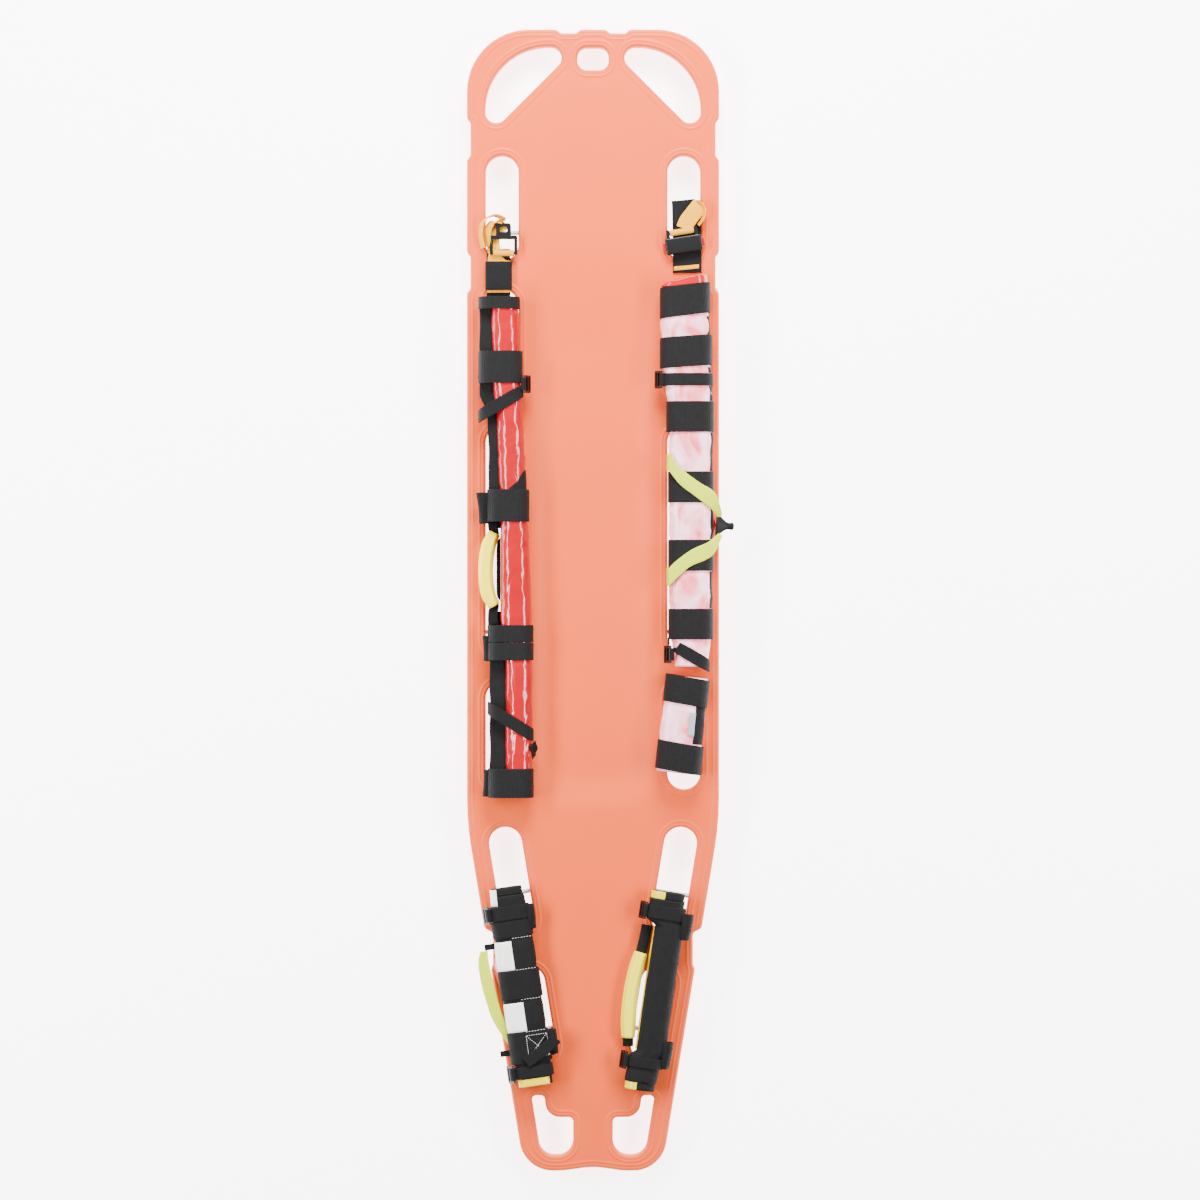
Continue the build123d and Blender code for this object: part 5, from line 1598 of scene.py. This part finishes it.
@dataclass
class GrabStrap:
    """Lime webbing V over the right wrap with a black grip at its point."""

    body: str = "right_grab"
    heights: Sequence[float] = (89.2, 89.2, 89.2, 86.6, 80.0, 70.5)
    upper_outer: PlanLine = (
        (668.4, 454.0), (680.0, 468.5), (697.8, 482.4), (713.3, 492.2), (719.3, 505.0), (721.6, 515.0),
    )
    upper_inner: PlanLine = (
        (668.4, 471.5), (679.5, 485.4), (693.3, 496.0), (706.5, 506.0), (712.6, 511.6), (718.0, 518.5),
    )
    lower_inner: PlanLine = (
        (668.4, 568.5), (675.6, 561.2), (691.0, 550.0), (706.5, 543.0), (712.6, 538.4), (718.0, 533.5),
    )
    lower_outer: PlanLine = (
        (668.4, 586.5), (675.6, 579.5), (688.9, 567.4), (705.0, 560.2), (714.0, 553.0), (721.8, 536.5),
    )
    root_columns: Sequence[float] = (668.6, 667.2, 666.9)
    root_rows: PlanLine = ((454.5, 471.5), (568.5, 586.0))
    root_heights: Sequence[float] = (85.8, 79.0, 64.0)

    def build(self) -> None:
        """Builds the strap's legs, their roots on the wrap's flank and the grip."""
        upper = ribbon(plan_line(self.upper_outer, self.heights), plan_line(self.upper_inner, self.heights),
                       1.9, 80, 0.5, 101)
        lower = ribbon(plan_line(self.lower_inner, self.heights), plan_line(self.lower_outer, self.heights),
                       1.9, 80, 0.5, 102)
        place_on(mesh_object("right_lime_legs", [upper, lower], SHELF.lime), self.body, "lime_webbing",
                 "right_grab_strap")
        roots = []
        for rows in self.root_rows:
            edges = [plan_line([(column, row) for column in self.root_columns],
                               self.root_heights) for row in rows]
            roots.append(ribbon(*edges, 1.7, 20, 0.0, 104))
        place_on(mesh_object("right_lime_roots", roots, SHELF.lime), "right_wrap", "lime_webbing")
        share = np.linspace(0.0, 1.0, 40)
        line = np.stack([196.5 + 28.6 * share, 120.0 - 2.5 * share, 68.6 - 1.6 * share], axis=1)
        radii = (17.5 - 12.0 * smooth(share / 0.7) + 0.6 * smooth((share - 0.7) / 0.2)
                 - 2.8 * smooth((share - 0.93) / 0.07))
        grip = tube(line, radii, 44, 0, 0.0, 0.44)
        place_on(mesh_object("right_cone_grip", [grip], SHELF.rubber), self.body, "black_grip",
                 "right_grab_grip")


# Foot wraps


@dataclass
class FootWrap:
    """A foot wrap: inner cloth, outer black cloth, bands, end linings and ladder locks."""

    side: Side
    place: tuple[float, float, float]
    stations: Stations
    bands: Sequence[tuple[float, float, float]]
    lock_rows: tuple[float, float]
    lock_edges: tuple[float, float]
    yellow_shares: tuple[tuple[float, float] | None, tuple[float, float] | None]
    loops: Sequence[tuple[float, float, float]]
    seed: int

    def end_rolls(self) -> list[tuple[Bundle, tuple[float, float]]]:
        """The inner roll that shows beyond each end, with its head and foot rows."""
        rolls = []
        for station, facing in ((self.stations[0], 1), (self.stations[-1], -1)):
            y, left, right = station
            outer = y + facing * 12.3
            span = (max(outer, y + facing * 0.3), min(outer, y + facing * 0.3))
            inner = Bundle(((span[0], left + 1.0, right - 1.0), (span[1], left + 1.0, right - 1.0)),
                           FOOT_HEIGHT, (),
                           self.place, fold_height=0.6, seed=self.seed + 5)
            rolls.append((inner, span))
        return rolls

    @property
    def word(self) -> str:
        """Side in words."""
        return "left" if self.side is Side.LEFT else "right"

    def bundle(self) -> Bundle:
        """The wrap's bundle."""
        cinches = [(y + length / 2, y - length / 2) for y, length, _ in self.bands]
        return Bundle(self.stations, FOOT_HEIGHT, cinches, self.place, fold_width=24.0, fold_length=40.0,
                      fold_height=0.9, seed=self.seed)

    def build(self) -> None:
        """Builds the pieces that both foot wraps have."""
        word, body = self.word, f"{self.word}_foot_wrap"
        roll = self.bundle()
        high, low = self.stations[0][0], self.stations[-1][0]
        place_on(mesh_object(f"{word}_foot_black_roll", [roll.shell(high, low)], SHELF.cloth), body,
                 "black_webbing", f"{word}_foot_roll")
        hoops = [roll.band(y + length / 2, y - length / 2, tilt, seed=self.seed + index)
                 for index, (y, length, tilt) in enumerate(self.bands)]
        place_on(mesh_object(f"{word}_foot_hoops", hoops, SHELF.black), body, "black_webbing",
                 f"{word}_foot_bands")
        ends = [inner.shell(*span, step=2.0, offset=-1.2) for inner, span in self.end_rolls()]
        place_on(mesh_object(f"{word}_foot_cloth_ends", ends, SHELF.cloth), body, "yellow_lining",
                 f"{word}_foot_lining")
        shown = [inner.shell(span[0] - 0.1, span[1] + 0.1, *share, offset=-0.1, thickness=1.2, step=1.5,
                             around=220)
                 for (inner, span), share in zip(self.end_rolls(), self.yellow_shares) if share is not None]
        place_on(mesh_object(f"{word}_foot_yellow_cloth", shown, SHELF.yellow), body, "yellow_lining")
        folds = []
        for y, reach, width in self.loops:
            edge = float(edges_at(self.stations, np.array([y]))[1][0])
            path = spline([(edge - 3.0, y, 74.0), (reach - 5.0, y, 75.4), (reach, y + 0.5, 67.0),
                           (reach - 4.0, y, 58.4),
                           (edge - 3.0, y, 57.6)], 36)
            turn = math.radians(self.place[2])
            axis = np.array([-math.sin(turn) + 0.05, math.cos(turn), 0.1])
            folds.append(strap(roll.turned(path), axis, width, 2.0, curl=-1.2, seed=int(reach)))
            folds.append(strap(roll.turned(0.5 * path + 0.5 * np.array([edge - 3.0, y - 2.0, 66.0])), axis,
                               0.8 * width, 2.0, curl=-0.8, seed=int(reach) + 1))
        place_on(mesh_object(f"{word}_foot_sewn_loops", folds, SHELF.black), body, "black_webbing")
        rings = [roll.lock_loop(edge, y, Side.LEFT) for edge, y in zip(self.lock_edges, self.lock_rows)]
        place_on(mesh_object(f"{word}_foot_lock_rings", rings, SHELF.black), body, "black_webbing",
                 f"{word}_foot_lock_loops")
        for name in ("upper", "lower"):
            node = f"{word}_foot_{name}_ladder_lock"
            soften(node, node, "black_plastic", SHELF.plastic, 0.5)


@dataclass
class LeftFootExtras:
    """White panels and the lime webbing handle of the left foot wrap."""

    wrap: FootWrap
    body: str = "left_foot_wrap"
    flap_outer: PlanLine = ((494.0, 952.0), (494.5, 968.0), (499.5, 985.0), (505.5, 1003.0))
    flap_inner: PlanLine = ((503.0, 952.0), (506.0, 970.0), (508.5, 987.0), (511.0, 1004.0))
    handle_outer: PlanLine = (
        (480.5, 951.0), (478.5, 962.0), (481.0, 980.0), (486.0, 999.0), (494.0, 1021.0), (511.0, 1047.0),
    )
    handle_inner: PlanLine = (
        (488.0, 949.5), (488.6, 958.0), (491.4, 972.0), (496.6, 993.0), (502.2, 1012.0), (511.6, 1035.0),
    )
    seam_corners: PlanLine = ((526.5, 1033.5), (547.0, 1030.5), (550.0, 1052.0), (529.5, 1055.0))
    seam_rows: Sequence[float] = (935.5, 967.0, 996.5, 1028.5)
    seam_height: float = 84.3
    slant_head: PlanLine = ((523.0, 1056.0), (538.0, 1044.5), (553.0, 1031.5))
    slant_foot: PlanLine = ((530.0, 1065.0), (546.0, 1053.0), (561.0, 1040.0))

    def build(self) -> None:
        """Builds the panels, the handle and its tabs."""
        roll = self.wrap.bundle()
        panels = [
            roll.shell(73.5, 27.0, 0.255, 0.475, offset=1.2, thickness=1.0, around=260),
            roll.shell(-25.5, -72.0, 0.285, 0.505, offset=1.0, thickness=1.0, around=260),
            roll.shell(157.5, 131.0, 0.215, 0.385, offset=0.3, thickness=1.0, around=260),
        ]
        place_on(mesh_object("left_foot_white_panels", panels, SHELF.white), self.body, "white_cloth",
                 "left_foot_panels")
        flap = ribbon(plan_line(self.flap_outer, (60.0,) * 4), plan_line(self.flap_inner, (66.0,) * 4),
                      1.4, 40, 0.6, 47)
        place_on(mesh_object("left_foot_red_edge", [flap], SHELF.orange_red), self.body, "red_lining")
        handle = ribbon(plan_line(self.handle_outer, (64.6,) * 6),
                        plan_line(self.handle_inner, (66.0, 66.4, 66.8, 66.8, 66.4, 66.0)), 2.6, 90, 0.9, 111)
        place_on(mesh_object("left_foot_lime_handle", [handle], SHELF.lime), "left_foot_handle",
                 "lime_webbing",
                 "left_foot_handle")
        corners = plan_line(self.seam_corners, (self.seam_height,) * 4)
        seams = [*corners, corners[0], corners[2]]
        thread = stitches(seams, 3.4) + stitches([corners[1], corners[3]], 3.4)
        for row in self.seam_rows:
            middle = 513.0 + (row - 889.0) * 28.0 / 189.0
            ends = plan_line(((middle - 8.0, row + 1.2), (middle + 12.0, row - 1.8)), (self.seam_height,) * 2)
            thread += stitches(ends, 4.2)
        place_on(mesh_object("left_foot_thread", thread, SHELF.thread), self.body, "white_cloth")
        slant = ribbon(plan_line(self.slant_head, (85.4, 86.0, 85.4)),
                       plan_line(self.slant_foot, (85.4, 86.0, 82.0)),
                       1.9, 40, 0.3, 48)
        place_on(mesh_object("left_foot_slant_strap", [slant], SHELF.black), self.body, "black_webbing")
        tabs = []
        for y, near in ((68.0, -38.0), (-104.0, -41.0)):
            tab = roll.turned(spline([(-58.0, y, 64.6), (-50.0, y, 65.0), (near, y, 64.6)], 16))
            turn = math.radians(self.wrap.place[2])
            tabs.append(strap(tab, np.array([-math.sin(turn), math.cos(turn), 0.0]), 9.8, 1.9, seed=113))
        place_on(mesh_object("left_foot_tabs", tabs, SHELF.black), self.body, "black_webbing",
                 "left_foot_handle_tabs")


@dataclass
class RightFootExtras:
    """Yellow inner cloth and the moulded handle of the right foot wrap."""

    wrap: FootWrap
    body: str = "right_foot_wrap"

    def build(self) -> None:
        """Builds the yellow strip, the grip and its webbing."""
        roll = self.wrap.bundle()
        outer = np.array([(-15.4, 101.0, 53.0), (-15.4, 30.0, 53.0), (-15.0, -40.0, 53.5),
                          (-14.5, -97.0, 55.0)])
        inner = np.array([(-1.5, 101.0, 79.0), (-3.0, 30.0, 78.5), (-5.0, -40.0, 77.4), (-8.0, -97.0, 74.0)])
        strip = ribbon(roll.turned(outer).tolist(), roll.turned(inner).tolist(), 1.4, 80, 0.6, 49)
        place_on(mesh_object("right_foot_yellow_strip", [strip], SHELF.yellow), self.body, "yellow_lining")
        line = [(-29.0, 56.0, 57.9), (-33.5, 20.0, 57.9), (-35.0, -13.0, 57.9), (-33.5, -46.0, 57.9),
                (-29.0, -82.0, 57.9)]
        path = roll.turned(spline(line, 60))
        share = np.linspace(0.0, 1.0, 60)
        rim = np.minimum(share, 1.0 - share)
        radii = 10.4 + 1.2 * smooth(rim / 0.2) - 1.5 * (1.0 - smooth(rim / 0.02))
        place_on(mesh_object("right_foot_tube_grip", [tube(path, radii, 60, 6, 0.7)], SHELF.grip),
                 "right_foot_handle",
                 "lime_grip", "right_foot_handle_grip")
        tails = []
        for points in (((-29.5, 52.0, 57.9), (-27.0, 78.0, 58.4), (-26.0, 101.0, 57.8)),
                       ((-29.5, -78.0, 57.9), (-28.0, -88.0, 58.0), (-27.0, -95.6, 57.8))):
            tails.append(strap(roll.turned(spline(points, 24)), np.array([1.0, 0.0, 0.0]), 17.0, 2.4,
                               curl=0.8,
                               seed=121))
        place_on(mesh_object("right_foot_handle_straps", tails, SHELF.black), "right_foot_handle",
                 "black_webbing", "right_foot_handle_webbing")


# The studio


@dataclass
class Studio:
    """Pale floor, soft lights and a camera that looks straight down on the board."""

    view_centre: tuple[float, float] = (11.2, 0.3)
    view_side: float = 1921.6
    distance: float = 7000.0
    sensor: float = 36.0

    def build(self) -> None:
        """Sets the floor, the lights and the camera."""
        bpy.ops.mesh.primitive_plane_add(size=12.0, location=(0.0, 0.0, -0.0006))
        floor = bpy.context.object
        floor.name = "floor"
        floor.data.materials.append(SHELF.floor)
        self.light("head_light", (0.15, 2.4, 1.7), (1.6, 0.9), 270.0)
        self.light("left_light", (-2.0, 0.2, 1.9), (0.6, 2.8), 185.0)
        self.light("right_light", (2.1, -0.2, 2.1), (0.7, 2.4), 145.0)
        world = bpy.data.worlds.new("studio")
        world.use_nodes = True
        world.node_tree.nodes["Background"].inputs["Color"].default_value = (1.0, 1.0, 1.0, 1.0)
        world.node_tree.nodes["Background"].inputs["Strength"].default_value = 0.35
        bpy.context.scene.world = world
        lens = bpy.data.cameras.new("camera")
        lens.sensor_width = self.sensor
        lens.lens = self.sensor * (self.distance - REST) / self.view_side
        lens.clip_end = 100.0
        camera = bpy.data.objects.new("camera", lens)
        camera.location = (self.view_centre[0] * MM, self.view_centre[1] * MM, self.distance * MM)
        bpy.context.scene.collection.objects.link(camera)
        bpy.context.scene.camera = camera

    def light(self, name: str, place: tuple[float, float, float], size: tuple[float, float],
              power: float) -> None:
        """Adds a soft light that faces the board.

        Args:
            name: Its name.
            place: Where it hangs, in metres.
            size: Its length along X and along Y, in metres.
            power: Its power in watts.
        """
        lamp = bpy.data.lights.new(name, "AREA")
        lamp.shape = "RECTANGLE"
        lamp.size, lamp.size_y = size
        lamp.energy = power
        obj = bpy.data.objects.new(name, lamp)
        obj.location = place
        away = np.array(place) / np.linalg.norm(place)
        if abs(away[0]) > abs(away[1]):
            obj.rotation_euler = (0.0, math.atan2(away[0], away[2]), 0.0)
        else:
            obj.rotation_euler = (-math.atan2(away[1], away[2]), 0.0, 0.0)
        bpy.context.scene.collection.objects.link(obj)


LEFT_FOOT = FootWrap(
    Side.LEFT, (-105.7, -613.8, 8.42),
    ((146.0, -36.0, 16.0), (120.0, -40.0, 20.0), (-60.0, -42.0, 21.0), (-148.0, -38.0, 20.0)),
    ((118.0, 22.0, 0.0), (92.0, 26.0, 0.0), (3.0, 46.0, 0.0), (-98.0, 50.0, 0.0), (-138.0, 18.0, 0.0)),
    (118.0, -138.0), (-40.0, -38.8), (None, (0.30, 0.66)), ((107.0, 27.5, 40.0), (-96.0, 33.5, 40.0)), 23)
RIGHT_FOOT = FootWrap(
    Side.RIGHT, (96.9, -622.6, -8.62),
    ((146.0, -28.0, 28.0), (112.0, -29.0, 30.0), (104.0, -13.0, 32.0), (-98.0, -13.0, 33.0),
     (-106.0, -24.0, 30.0),
     (-148.0, -24.0, 26.0)),
    ((125.0, 21.0, 0.0), (-116.0, 16.0, 0.0)), (125.0, -116.0), (-28.9, -24.0), ((0.17, 0.47), (0.20, 0.46)),
    ((107.0, 43.5, 42.0), (-100.0, 42.0, 44.0)), 43)


def main() -> None:
    """Builds the studio and every sub-assembly in order."""
    logging.basicConfig(level=logging.INFO, format="%(name)s: %(message)s")
    makers: list[object] = [
        Studio(), Board(), LeftWrap(), LeftShoulder(), RightShoulder(), RightWrap(), GrabStrap(), LEFT_FOOT,
        RIGHT_FOOT, LeftFootExtras(LEFT_FOOT), RightFootExtras(RIGHT_FOOT),
    ]
    for maker in makers:
        maker.build()
        LOG.info("%s built", type(maker).__name__)


if __name__ == "__main__":
    main()
